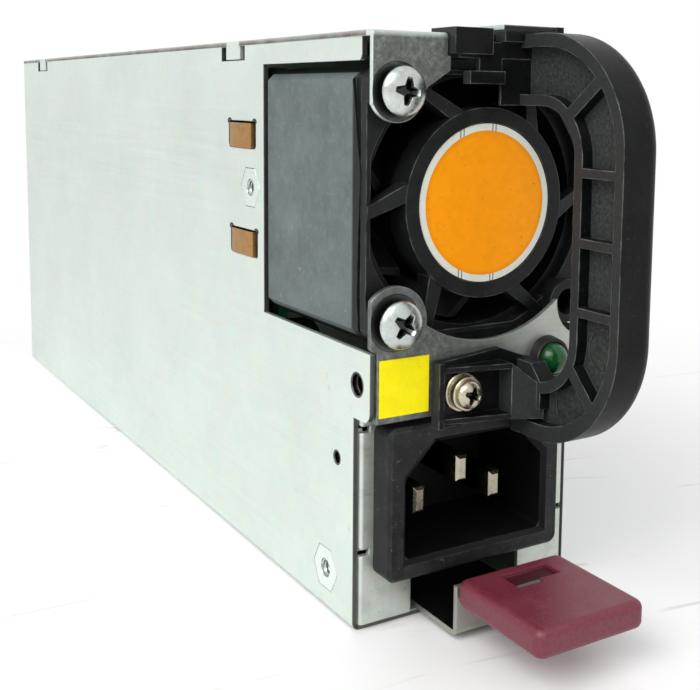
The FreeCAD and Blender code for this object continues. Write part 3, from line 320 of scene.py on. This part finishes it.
def cover_marks_and_shade(s, tone):
    """Painted shadow along the seam under the top left edge, the ear darkened by painted shade with its shaded screw
    seat, and dark lip over the handle.
    """
    wall_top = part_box("chassis_base")[1].z
    on_left = s.both(s.below(s.x, -18.3 * MM), s.below(s.upward, 0.9))
    behind_ear = s.above(s.y, -98 * MM)
    seam = s.both(on_left, behind_ear, s.above(s.z, wall_top + 0.02 * MM))
    for y in TAB_PLACES:
        seam = s.both(seam, s.above(s.gap(s.y, y * MM), 2.6 * MM, 0.3 * MM))
    # Painted shadow along the seam, darkest just above the base wall's top.
    shadow = s.ramp(s.rise(s.z, wall_top, wall_top + 1.2 * MM),
                    (0.15, (0.10, 0.085, 0.072)), (0.6, (0.42, 0.40, 0.37)))
    tone = s.mix(s.both(seam, s.ramp(s.noise(4.0), (0.3, 0.75), (0.6, 1.0))), tone, shadow)
    front = s.both(s.below(s.y, -90 * MM), s.below(s.along, FACE_ON))
    ear_right = -5.0 * MM
    ear = s.both(front, s.below(s.x, ear_right), s.below(s.z, 86.2 * MM, 0.5 * MM))
    # Painted shade: the front-facing ear darkened in place of a darker reflection.
    tone = s.mix(ear, tone, shaded_ear_grey(s))
    tone = s.mix(s.both(front, s.above(s.x, ear_right)), tone, (0.03, 0.029, 0.026))
    return dish(s, tone, "fan_screw_upper")


def bracket_marks_and_shade(s, tone):
    """Lower ear darkened by painted shade, lighter towards the lamp, and the shaded seat of the lower screw."""
    # Painted shade on the lower ear, fading out towards the lamp, and black painted shade in the round holes.
    towards_lamp = s.rise(s.x, -8 * MM, 10 * MM)
    tone = side_hole_shade(s, s.mix(towards_lamp, shaded_ear_grey(s), tone))
    return dish(s, tone, "fan_screw_lower")


def relief_notch_shade(s, tone):
    """Painted black shade of the relief notches at the upper corners of the spring slots."""
    for node in ("ground_spring_upper", "ground_spring_lower"):
        low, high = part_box(node)
        top = (low.z + high.z) / 2 + 2.2 * MM
        for y in (low.y - 0.3 * MM, high.y - 2.9 * MM):
            away = s.length(s.math("MULTIPLY", s.offset(s.y, y), 0.6), s.offset(s.z, top))
            notch = s.both(s.below(away, 0.55 * MM, 0.06 * MM), s.below(s.x, -18 * MM))
            # Painted shade: near black over each notch.
            tone = s.mix(notch, tone, (0.012, 0.011, 0.010))
    return tone


def base_marks_and_shade(s, tone):
    """Brown cut edges, rusty dirt along the bottom front edge, smears on the left wall, and painted shade in the
    round holes and relief notches.
    """
    forward = s.below(s.along, -0.5)
    cut = s.both(forward, s.below(s.x, -18.8 * MM))
    tone = s.mix(s.both(cut, 0.92), tone, (0.045, 0.038, 0.032))
    ragged = s.math("SUBTRACT", s.z, s.math("MULTIPLY", s.noise(0.9, 5.0, 0.75), 1.5 * MM))
    bottom_line = s.both(forward, s.below(ragged, 0.0, 0.15 * MM))
    tone = s.mix(s.both(bottom_line, 0.9), tone, (0.055, 0.045, 0.035))
    foot = s.both(s.below(s.across, -0.5), s.below(s.y, -50 * MM, 40 * MM))
    rust = s.both(foot, s.below(ragged, -0.3 * MM, 0.1 * MM))
    tone = s.mix(s.both(rust, 0.7), tone, (0.10, 0.08, 0.06))
    smear = s.ramp(s.noise((30.0, 2.2, 2.8), 4.0, 0.7), (0.62, 0.0), (0.80, 1.0))
    near_front = s.below(s.y, -70 * MM, 15 * MM)
    tone = s.mix(s.both(smear, near_front, 0.35), tone, (0.30, 0.30, 0.26))
    # Painted shade in the round holes and the relief notches.
    return side_hole_shade(s, relief_notch_shade(s, tone))


def plate_marks_and_shade(s, tone):
    """Stains and specks on the front plate, and painted shade in the round holes."""
    # Painted shade in the round holes.
    tone = side_hole_shade(s, tone)
    stain = s.ramp(s.noise(3.5, 4.0, 0.65), (0.48, 0.0), (0.75, 1.0))
    tone = s.mix(s.both(stain, 0.4), tone, (0.24, 0.24, 0.21))
    return s.mix(speckle(s, 0.7, 0.7, 0.68), tone, (0.10, 0.09, 0.08))


def strip_floor_shade(s, tone):
    """Painted shade on the strip's floor under the inlet, mottled."""
    floor = s.both(s.above(s.upward, 0.5), s.below(s.z, 2.0 * MM), s.above(s.y, -118 * MM))
    # Painted shade: near black floor under the inlet.
    return s.mix(floor, tone, s.ramp(s.noise(1.5, 4.0, 0.7), (0.3, 0.008), (0.7, 0.03)))


def moulded(name, colour, rough=0.5, dust=0.2, specular=0.3, highlight_and_wear=0.8, marks=None,
            dust_colour=(0.10, 0.10, 0.094), highlight_and_wear_colour=(0.26, 0.27, 0.27)):
    """Injection moulded plastic: eroded texture, dust on ledges and in patches, and outward corners lighter, partly
    painted highlight and partly wear.
    """
    s = Shade(name)
    fine = s.noise(0.4, 3.0, 0.6)
    patch = s.noise(5.0, 5.0, 0.65)
    tone = s.ramp(fine, (0.3, tint(colour, 0.75)), (0.7, tint(colour, 1.3)))
    caught = s.ramp(patch, (0.42, 0.15), (0.72, 1.0))
    settled = s.math("ADD", 0.45, s.math("MULTIPLY", s.above(s.upward, 0.6, 0.3), 0.55))
    tone = s.mix(s.both(caught, settled, dust), tone, dust_colour)
    tone = s.mix(speckle(s, 0.5, dust, 0.66), tone, tint(dust_colour, 1.9))
    if marks:
        tone = marks(s, tone)
    round_normal = s.rounded(0.22)
    # Outward corners lighter in patches: painted highlight, partly wear.
    lighter_patches = s.ramp(s.noise(2.5, 3.0), (0.38, 0.1), (0.62, 1.0))
    tone = s.mix(s.both(s.corners(round_normal), lighter_patches, highlight_and_wear), tone, highlight_and_wear_colour)
    gloss = s.ramp(patch, (0.3, rough - 0.08), (0.7, rough + 0.08))
    return s.finish(Base_Color=tone, Roughness=gloss, Specular_IOR_Level=specular,
                    Normal=s.bump(fine, 0.02, below=round_normal))


def fan_marks(s, tone):
    """Blue grey over the fan's left-facing side in the window, mottled, with lighter patches and spots."""
    in_window = s.both(s.below(s.across, -0.5), s.below(s.x, -18.4 * MM))
    behind_ear = s.above(s.y, -93.5 * MM, 0.3 * MM)
    film = s.ramp(s.noise(9.0, 5.0, 0.7), (0.3, (0.070, 0.092, 0.092)), (0.7, (0.125, 0.158, 0.152)))
    film = s.mix(speckle(s, 1.1, 0.35, 0.68), film, (0.34, 0.38, 0.36))
    lighter_patches = s.ramp(s.noise(1.6, 5.0, 0.8), (0.5, 0.0), (0.8, 0.45))
    film = s.mix(lighter_patches, film, (0.20, 0.245, 0.235))
    return s.mix(s.both(in_window, behind_ear), tone, film)


def handle_grain_and_sheen(s, tone):
    """Grey grain of the ribbed face, lifted as painted sheen on faces that look left: smooth on the ribs and dusty
    on the sunk floor between them.
    """
    face = s.below(s.across, -0.4, 0.2)
    grain = s.noise(0.5, 4.0, 0.75)
    smooth = s.ramp(grain, (0.3, (0.020, 0.022, 0.022)), (0.7, (0.034, 0.036, 0.036)))
    dusty = s.ramp(grain, (0.35, (0.018, 0.020, 0.020)), (0.7, (0.060, 0.063, 0.062)))
    sunk = s.above(s.x, 5.2 * MM, 0.3 * MM)
    # Partly painted sheen: faces looking left lighter than the black base.
    return s.mix(face, tone, s.mix(sunk, smooth, dusty))


def grip_recess_shade(s, tone):
    """Painted shade on the floor of the tab's recess."""
    low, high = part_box("latch_tab")
    middle_x = (low.x + high.x) / 2
    floor = s.both(s.above(s.upward, 0.5), s.between(s.z, high.z - 0.7 * MM, high.z - 0.3 * MM))
    within = s.both(s.between(s.x, middle_x - 3.6 * MM, middle_x + 5.1 * MM), s.above(s.y, high.y - 6.0 * MM))
    # Painted shade: darker maroon in the recess.
    return s.mix(s.both(floor, within), tone, (0.045, 0.004, 0.009))


def socket_shade(s, tone):
    """Painted shade: the inside of the inlet kept near black."""
    turned_in = s.math("MAXIMUM", s.above(s.y, -98.6 * MM, 0.5 * MM), s.above(s.along, -0.85, 0.08))
    within = s.both(s.between(s.x, -15.6 * MM, 13.4 * MM), s.between(s.z, 9.4 * MM, 30.0 * MM))
    # Painted shade deep in the inlet and on its inner walls.
    return s.mix(s.both(turned_in, within), tone, (0.0022, 0.0023, 0.0025))


def bright_metal(name, colour, rough=0.28, lines=0.3, marks=None):
    """Plated or turned metal with fine marks, stains and painted highlights on its corners."""
    s = Shade(name)
    grain = s.noise((lines, lines * 6, lines), 3.0, 0.6)
    tone = s.ramp(grain, (0.3, tint(colour, 0.80)), (0.7, colour))
    stain = s.ramp(s.noise(1.4, 3.0), (0.5, 0.0), (0.75, 1.0))
    tone = s.mix(s.both(stain, 0.35), tone, tint(colour, 0.45))
    if marks:
        tone = marks(s, tone)
    gloss = s.ramp(grain, (0.3, rough - 0.05), (0.7, rough + 0.1))
    round_normal = s.rounded(0.12)
    # Painted highlight: outward corners made lighter.
    tone = s.mix(s.both(s.corners(round_normal), 0.3), tone, tint(colour, 1.2))
    return s.finish(Base_Color=tone, Metallic=1.0, Roughness=gloss,
                    Normal=s.bump(grain, 0.006, below=round_normal))


def pin_shade(s, tone):
    """Pins darkened by painted shade deeper in the inlet."""
    # Painted shade, growing deeper into the inlet.
    return s.mix(s.rise(s.y, -94.6 * MM, -91.0 * MM), tone, (0.012, 0.011, 0.009))


def screw_shade(names, reach, rim):
    """Painted shade that darkens each screw's recess within a reach, and all behind a depth of rim, in millimetres.
    """
    def marks(s, tone):
        for node in names:
            away = s.from_axis(middle(node))
            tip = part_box(node)[0].y
            recess = s.both(s.below(away, reach * MM), s.above(s.y, tip + 0.5 * MM, 0.15 * MM))
            under = s.both(s.below(away, 4.5 * MM), s.above(s.y, tip + rim * MM))
            # Painted shade in the cross recess and under the head.
            tone = s.mix(s.math("MAXIMUM", recess, under), tone, (0.045, 0.048, 0.050))
        return tone
    return marks


def printed_film(name, colour, marks=None):
    """Sticker film: even ink with a slight mottle, specks and handling dirt."""
    s = Shade(name)
    dirt = s.noise(2.2, 4.0, 0.7)
    tone = s.ramp(dirt, (0.25, tint(colour, 0.90)), (0.6, colour))
    tone = s.mix(speckle(s, 0.45, 0.5, 0.71), tone, tint(colour, 0.3))
    if marks:
        tone = marks(s, tone)
    return s.finish(Base_Color=tone, Roughness=0.45, Specular_IOR_Level=0.15, Normal=s.bump(dirt, 0.01))


def ring_marks(s, tone):
    """Pairs of thin cutting marks across the white border of the hub label."""
    low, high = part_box("hub_label_ring")
    centre = (low.x + high.x) / 2
    radius = (high.x - low.x) / 2
    for share in (-0.38, 0.11):
        for side in (-0.28, 0.28):
            away = s.gap(s.x, centre + share * radius + side * MM)
            tone = s.mix(s.below(away, 0.075 * MM, 0.03 * MM), tone, (0.03, 0.03, 0.03))
    return tone


def disc_marks(s, tone):
    """Specks and soiled border of the orange disc."""
    rim = s.above(s.from_axis(middle("hub_label_disc")), 10.2 * MM, 0.5 * MM)
    tone = s.mix(speckle(s, 0.7, 0.6, 0.66), tone, (0.20, 0.07, 0.0))
    return s.mix(s.both(rim, 0.25), tone, (0.30, 0.10, 0.0))


def lamp_glass(name, colour):
    """Tinted lens, darker in its depth, with a clear wet gloss."""
    s = Shade(name)
    swirl = s.noise(1.2, 2.0)
    tone = s.ramp(swirl, (0.3, tint(colour, 0.5)), (0.7, colour))
    return s.finish(Base_Color=tone, Roughness=0.2, Specular_IOR_Level=0.35, Coat_Weight=0.15,
                    Coat_Roughness=0.05, Normal=s.bump(swirl, 0.02))


def make_finishes():
    """One material for each slot name of the record, and closer ones for single nodes."""
    zinc = (0.68, 0.755, 0.705)
    black = (0.0048, 0.0054, 0.0062)
    return {
        "zinc_steel": sheet_metal("zinc_steel", zinc),
        "chassis_cover": sheet_metal("zinc_cover", zinc, marks=cover_marks_and_shade),
        "chassis_base": sheet_metal("zinc_base", zinc, marks=base_marks_and_shade),
        "front_plate": sheet_metal("zinc_plate", (0.62, 0.66, 0.60), marks=plate_marks_and_shade),
        "bracket_steel": sheet_metal("bracket_steel", (0.42, 0.45, 0.41), rough=0.46, marks=bracket_marks_and_shade),
        "latch_steel": sheet_metal("latch_steel", (0.50, 0.50, 0.46), rough=0.35),
        "latch_strip": sheet_metal("latch_strip_steel", (0.40, 0.40, 0.36), rough=0.35, marks=strip_floor_shade),
        "wall_insert_upper": sheet_metal("insert_zinc_upper", tint(zinc, 1.1), rough=0.3),
        "wall_insert_lower": sheet_metal("insert_zinc_lower", tint(zinc, 1.1), rough=0.3),
        "black_plastic": moulded("black_plastic", black),
        "inlet_housing": moulded("inlet_plastic", tint(black, 1.2), dust=0.5, specular=0.22, highlight_and_wear=0.15,
                                 marks=socket_shade),
        "handle_plastic": moulded("handle_plastic", tint(black, 0.6), rough=0.38, dust=0.12, specular=0.12,
                                  highlight_and_wear=0.9, highlight_and_wear_colour=(0.24, 0.25, 0.25), marks=handle_grain_and_sheen),
        "fan_plastic": moulded("fan_plastic", tint(black, 0.8), dust=0.18, specular=0.2, highlight_and_wear=0.6),
        "fan_frame": moulded("fan_frame_plastic", tint(black, 0.6), dust=0.12, specular=0.2, highlight_and_wear=0.2,
                             marks=fan_marks),
        "impeller": moulded("impeller_plastic", tint(black, 0.5), rough=0.45, dust=0.04, specular=0.2, highlight_and_wear=0.15),
        "grip_maroon": moulded("grip_maroon", (0.14, 0.016, 0.032), rough=0.42, dust=0.06, specular=0.5,
                               highlight_and_wear=0.35, dust_colour=(0.3, 0.2, 0.2), highlight_and_wear_colour=(0.32, 0.11, 0.14),
                               marks=grip_recess_shade),
        "lens_green": lamp_glass("lens_green", (0.006, 0.10, 0.025)),
        "label_yellow": printed_film("label_yellow", (0.93, 0.80, 0.003)),
        "label_orange": printed_film("label_orange", (0.93, 0.31, 0.001), marks=disc_marks),
        "label_white": printed_film("label_white", (0.66, 0.68, 0.60), marks=ring_marks),
        "screw_zinc": bright_metal("screw_zinc", (0.66, 0.71, 0.69)),
        "screw_nickel": bright_metal("screw_nickel", (0.60, 0.55, 0.42)),
        "copper": bright_metal("copper", (0.46, 0.26, 0.10), rough=0.38),
        "pin_brass": bright_metal("pin_brass", (0.50, 0.47, 0.36), marks=pin_shade),
        "gold": bright_metal("gold", (0.90, 0.65, 0.25)),
    }


def dress_nodes(finishes):
    """Give each CAD node its own material, or else its slot's, made from the record's colour where none is."""
    slots = {part["node"]: part["material_slot"] for part in frame["record"]["subparts"]}
    plain = {entry["slot"]: entry for entry in frame["record"]["materials"]}
    for name, piece in frame["nodes"].items():
        slot = slots[name]
        if slot not in finishes:
            colour = tuple(plain[slot].get("base_color", (0.3, 0.3, 0.3))[:3])
            finishes[slot] = moulded(slot, colour, rough=0.45, dust=0.1, highlight_and_wear=0.1)
        piece.data.materials.clear()
        piece.data.materials.append(finishes.get(name, finishes[slot]))


# Small pieces

def object_of(name, shape):
    """Object of a finished bmesh, which it frees."""
    data = bpy.data.meshes.new(name)
    shape.to_mesh(data)
    shape.free()
    return linked(name, data)


def turned(name, profile, steps=72):
    """Solid of revolution around the Y axis from (radius, y) points in millimetres, built ring by ring."""
    shape = bmesh.new()
    rings = {}
    for r, y in profile:
        if (r, y) not in rings:
            angles = [math.tau * k / steps for k in range(steps if r else 1)]
            rings[r, y] = [shape.verts.new((r * math.cos(a) * MM, y * MM, r * math.sin(a) * MM)) for a in angles]
    for start, end in zip(profile, profile[1:]):
        near, far = rings[start], rings[end]
        for k in range(steps):
            after = k + 1
            corners = (near[k % len(near)], near[after % len(near)], far[after % len(far)], far[k % len(far)])
            shape.faces.new(list(dict.fromkeys(corners)))
    bmesh.ops.recalc_face_normals(shape, faces=shape.faces)
    return object_of(name, shape)


def bridged(name, *outlines):
    """Solid between two outlines of as many (x, y, z) points, in millimetres."""
    shape = bmesh.new()
    near, far = [[shape.verts.new(tuple(c * MM for c in point)) for point in outline] for outline in outlines]
    for i, corner in enumerate(near):
        after = (i + 1) % len(near)
        shape.faces.new((corner, near[after], far[after], far[i]))
    shape.faces.new(near)
    shape.faces.new(far)
    bmesh.ops.recalc_face_normals(shape, faces=shape.faces)
    return object_of(name, shape)


def extruded(name, outline, low, high):
    """Solid of an (x, y) outline between two heights, in millimetres."""
    return bridged(name, *([(x, y, z) for x, y in outline] for z in (low, high)))


def shade_smooth(data, angle=35):
    """Smooth shading, except across edges sharper than an angle in degrees."""
    for face in data.polygons:
        face.use_smooth = True
    data.set_sharp_from_angle(angle=math.radians(angle))


def cross_cutter(reach, half, notch, top, bottom):
    """Four tapered wings of a cross recess, from y top to y bottom in millimetres."""
    outline = []
    for quarter in range(4):
        turn = quarter * math.pi / 2
        for x, z in ((reach, -half), (reach * 1.02, 0.0), (reach, half), (notch, notch)):
            outline.append((x * math.cos(turn) - z * math.sin(turn), x * math.sin(turn) + z * math.cos(turn)))
    return bridged("cutter", *([(x * size, y, z * size) for x, z in outline]
                               for y, size in ((top, 1.06), (bottom, 0.45))))


def cut_and_smooth(piece, cutter):
    """Take the cutter out of the piece for good, and shade its curved parts smooth."""
    change = piece.modifiers.new("recess", "BOOLEAN")
    change.operation = "DIFFERENCE"
    change.solver = "EXACT"
    change.object = cutter
    bpy.context.view_layer.update()
    seen = piece.evaluated_get(bpy.context.evaluated_depsgraph_get())
    data = bpy.data.meshes.new_from_object(seen)
    piece.modifiers.clear()
    piece.data = data
    bpy.data.objects.remove(cutter)
    shade_smooth(data)


def pan_screw(name, node, head, rim, shank, recess, turn, finish):
    """Cross recess screw in the place of a CAD screw: low dome, undercut head and plain shank.

    Sizes are in millimetres: head radius, depth of the rim behind the tip, shank radius, and the recess's
    reach, half width and notch. The turn of the recess is in degrees.
    """
    low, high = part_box(node)
    centre = (low + high) / 2
    tip, end = low.y / MM, high.y / MM
    dome = [(head * math.sin(a), tip + rim * (1 - math.cos(a))) for a in (i * math.pi / 28 for i in range(15))]
    profile = dome + [(head - 0.06, tip + rim + 0.3), (head - 0.5, tip + rim + 0.55), (shank + 0.5, tip + rim + 1.2),
                      (shank, tip + rim + 1.5), (shank, end - 0.4), (shank - 0.4, end), (0.0, end)]
    piece = turned(name, profile)
    cut_and_smooth(piece, cross_cutter(*recess, tip - 0.3, tip + 1.5))
    turn_round = Matrix.Rotation(math.radians(turn), 4, "Y")
    piece.data.transform(Matrix.Translation((centre.x, 0.0, centre.z)) @ turn_round)
    piece.data.materials.clear()
    piece.data.materials.append(finish)
    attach(piece, "case")
    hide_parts(node)


def washers(finish):
    """Flat washer and split spring washer under the handle screw, in the place of the CAD washer."""
    low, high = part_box("handle_washer")
    centre = (low + high) / 2
    outer = (high.x - low.x) / 2 / MM
    bore = 1.6
    back = high.y / MM
    flat = back - 0.5
    front = low.y / MM - 0.35
    profile = [(bore, back), (bore, front), (outer - 0.55, front), (outer - 0.40, front + 0.12),
               (outer - 0.40, flat - 0.12), (outer - 0.55, flat), (outer - 0.12, flat), (outer, flat + 0.12),
               (outer, back - 0.12), (outer - 0.12, back), (bore, back)]
    piece = turned("handle_washers", profile)
    shade_smooth(piece.data)
    piece.data.transform(Matrix.Translation((centre.x, 0.0, centre.z)))
    piece.data.materials.append(finish)
    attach(piece, "case")
    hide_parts("handle_washer")


def thread(name, node, finish):
    """Coil of M3 thread inside a wall insert."""
    radius, pitch, wire = 1.25 * MM, 0.5 * MM, 0.16 * MM
    turns, steps = 4, 24
    low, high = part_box(node)
    centre = (low + high) / 2
    data = bpy.data.curves.new(name, "CURVE")
    data.dimensions = "3D"
    data.bevel_depth = wire
    data.bevel_resolution = 2
    line = data.splines.new("POLY")
    line.points.add(turns * steps)
    for i, point in enumerate(line.points):
        angle = math.tau * i / steps
        point.co = (low.x + 0.25 * MM + pitch * i / steps, centre.y + radius * math.cos(angle),
                    centre.z + radius * math.sin(angle), 1.0)
    made = linked(name, data)
    made.data.materials.append(finish)
    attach(made, "case")


def spring_leaf(name, node, finish):
    """Copper leaf that fills its slot, bulging a little out of the wall and folded in at both ends."""
    low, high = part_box(node)
    front, rear = low.y / MM + 0.15, high.y / MM - 2.5
    middle_z = (low.z + high.z) / 2 / MM
    skin = left_x / MM + 0.03
    depths = [(2.2, front + 1.0), (0.7, front + 1.0), (0.15, front + 1.1), (0.0, front + 1.4), (0.0, rear - 2.2),
              (0.10, rear - 1.0), (0.30, rear + 0.2), (1.05, rear + 1.3), (1.30, rear + 2.2)]
    outer = [(skin + depth, y) for depth, y in depths]
    inner = [(x + 0.28, y + (0.25 if i < 3 else 0.0)) for i, (x, y) in enumerate(outer)]
    piece = extruded(name, outer + inner[::-1], middle_z - 2.22, middle_z + 1.95)
    piece.data.materials.append(finish)
    shade_smooth(piece.data, 40)
    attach(piece, "case")
    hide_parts(node)


def window_plate(finish):
    """Bare end of the spring strip that shows in the tab's window."""
    low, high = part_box("latch_tab")
    middle_x, rear, top = (low.x + high.x) / 2 / MM, high.y / MM, high.z / MM
    left, right = middle_x - 3.35, middle_x + 1.05
    near, far = rear - 6.75, rear - 5.55
    outline = [(left, near), (right, near), (right, far), (left, far)]
    piece = extruded("tab_window_plate", outline, top - 1.45, top - 0.25)
    shape = bmesh.new()
    shape.from_mesh(piece.data)
    bmesh.ops.bevel(shape, geom=shape.edges, offset=0.12 * MM, segments=2, affect="EDGES", profile=0.5)
    shape.to_mesh(piece.data)
    shape.free()
    piece.data.materials.append(finish)
    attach(piece, "latch")


def add_small_pieces(finishes):
    """Screws, washers, threads, copper leaves and the plate in the tab's window."""
    fan_zinc = bright_metal("screw_zinc_fan", (0.62, 0.67, 0.64), rough=0.27, lines=0.7,
                            marks=screw_shade(FAN_SCREWS, reach=2.35, rim=1.35))
    for node, turn in zip(FAN_SCREWS, (8, 38)):
        pan_screw(node.replace("screw", "screw_head"), node, head=3.45, rim=1.25, shank=1.7,
                  recess=(2.2, 0.42, 0.78), turn=turn, finish=fan_zinc)
    foot_nickel = bright_metal("screw_nickel_foot", (0.56, 0.52, 0.40), rough=0.25,
                               marks=screw_shade(["handle_screw"], reach=1.6, rim=9.0))
    pan_screw("handle_screw_head", "handle_screw", head=2.1, rim=1.1, shank=1.5,
              recess=(1.5, 0.32, 0.55), turn=20, finish=foot_nickel)
    washers(finishes["screw_nickel"])
    for level in ("upper", "lower"):
        thread("insert_thread_" + level, "wall_insert_" + level, finishes["screw_zinc"])
    window_plate(finishes["latch_steel"])
    for level in ("upper", "lower"):
        spring_leaf("spring_leaf_" + level, "ground_spring_" + level, finishes["copper"])


# Room

def add_floor():
    """Pale plain floor with the supply's shadow, which turns plain white away from it."""
    reach = 3.0
    data = bpy.data.meshes.new("floor")
    data.from_pydata([(-reach, -reach, 0), (reach, -reach, 0), (reach, reach, 0), (-reach, reach, 0)], [],
                     [(0, 1, 2, 3)])
    floor = linked("floor", data)
    s = Shade("floor_white")
    wander = s.gap(s.noise((160.0, 28.0, 28.0), 2.0, 0.4, turn=(0, 0, 0.5)), 0.5)
    patchy = s.ramp(s.noise(22.0, 2.0), (0.48, 0.0), (0.60, 0.5))
    tone = s.ramp(s.noise(60.0, 3.0), (0.3, 0.90), (0.7, 0.93))
    scratches = s.both(s.below(wander, 0.0035, 0.0015), patchy)
    tone = s.mix(scratches, tone, (0.55, 0.52, 0.48))
    tone = s.mix(speckle(s, 2.2, 0.5, 0.76), tone, (0.45, 0.42, 0.38))
    s.finish(Base_Color=tone, Roughness=0.5)
    plain = s.node("ShaderNodeEmission", Color=(1.0, 1.0, 1.0), Strength=1.0)
    dx = s.offset(s.x, 10 * MM)
    dy = s.math("MULTIPLY", s.offset(s.y, -80 * MM), 0.8)
    far = s.above(s.length(dx, dy), 150 * MM, 60 * MM)
    seen = s.tree.nodes.new("ShaderNodeLightPath").outputs["Is Camera Ray"]
    shown = s.node("ShaderNodeMixShader", Fac=s.both(seen, far))
    s.tree.links.new(s.shader.outputs[0], shown.inputs[1])
    s.tree.links.new(plain.outputs[0], shown.inputs[2])
    s.tree.links.new(shown.outputs[0], s.tree.nodes["Material Output"].inputs["Surface"])
    floor.data.materials.append(s.material)


def add_lamp(name, place, target, size, power):
    """Square soft lamp that shines from a place at a target."""
    data = bpy.data.lights.new(name, "AREA")
    data.shape = "RECTANGLE"
    data.size = size
    data.size_y = size
    data.energy = power
    lamp = linked(name, data)
    lamp.location = place
    lamp.rotation_euler = (Vector(target) - Vector(place)).to_track_quat("-Z", "Y").to_euler()


def light_room():
    """Even white surroundings and two soft lamps, as in a small photo tent."""
    world = bpy.data.worlds.new("tent")
    bpy.context.scene.world = world
    world.use_nodes = True
    tree = world.node_tree
    rays = tree.nodes.new("ShaderNodeLightPath")
    seen = rays.outputs["Is Camera Ray"]
    for kind in ("Is Glossy Ray", "Is Transmission Ray"):
        either = tree.nodes.new("ShaderNodeMath")
        either.operation = "MAXIMUM"
        tree.links.new(seen, either.inputs[0])
        tree.links.new(rays.outputs[kind], either.inputs[1])
        seen = either.outputs["Value"]
    strength = tree.nodes.new("ShaderNodeMix")
    strength.inputs["A"].default_value = 0.75
    strength.inputs["B"].default_value = 1.0
    tree.links.new(seen, strength.inputs["Factor"])
    shade = tree.nodes["Background"]
    shade.inputs["Color"].default_value = (1.0, 1.0, 1.0, 1.0)
    tree.links.new(strength.outputs["Result"], shade.inputs["Strength"])
    add_lamp("key", place=(-0.7, -0.35, 0.7), target=(0, 0, 0.04), size=0.6, power=6.0)
    add_lamp("fill", place=(-0.4, -0.9, 0.8), target=(0, -0.09, 0.04), size=0.5, power=2.5)


bpy.context.scene.view_settings.view_transform = "Standard"
add_camera()
light_room()
add_floor()
finishes = make_finishes()
dress_nodes(finishes)
add_small_pieces(finishes)
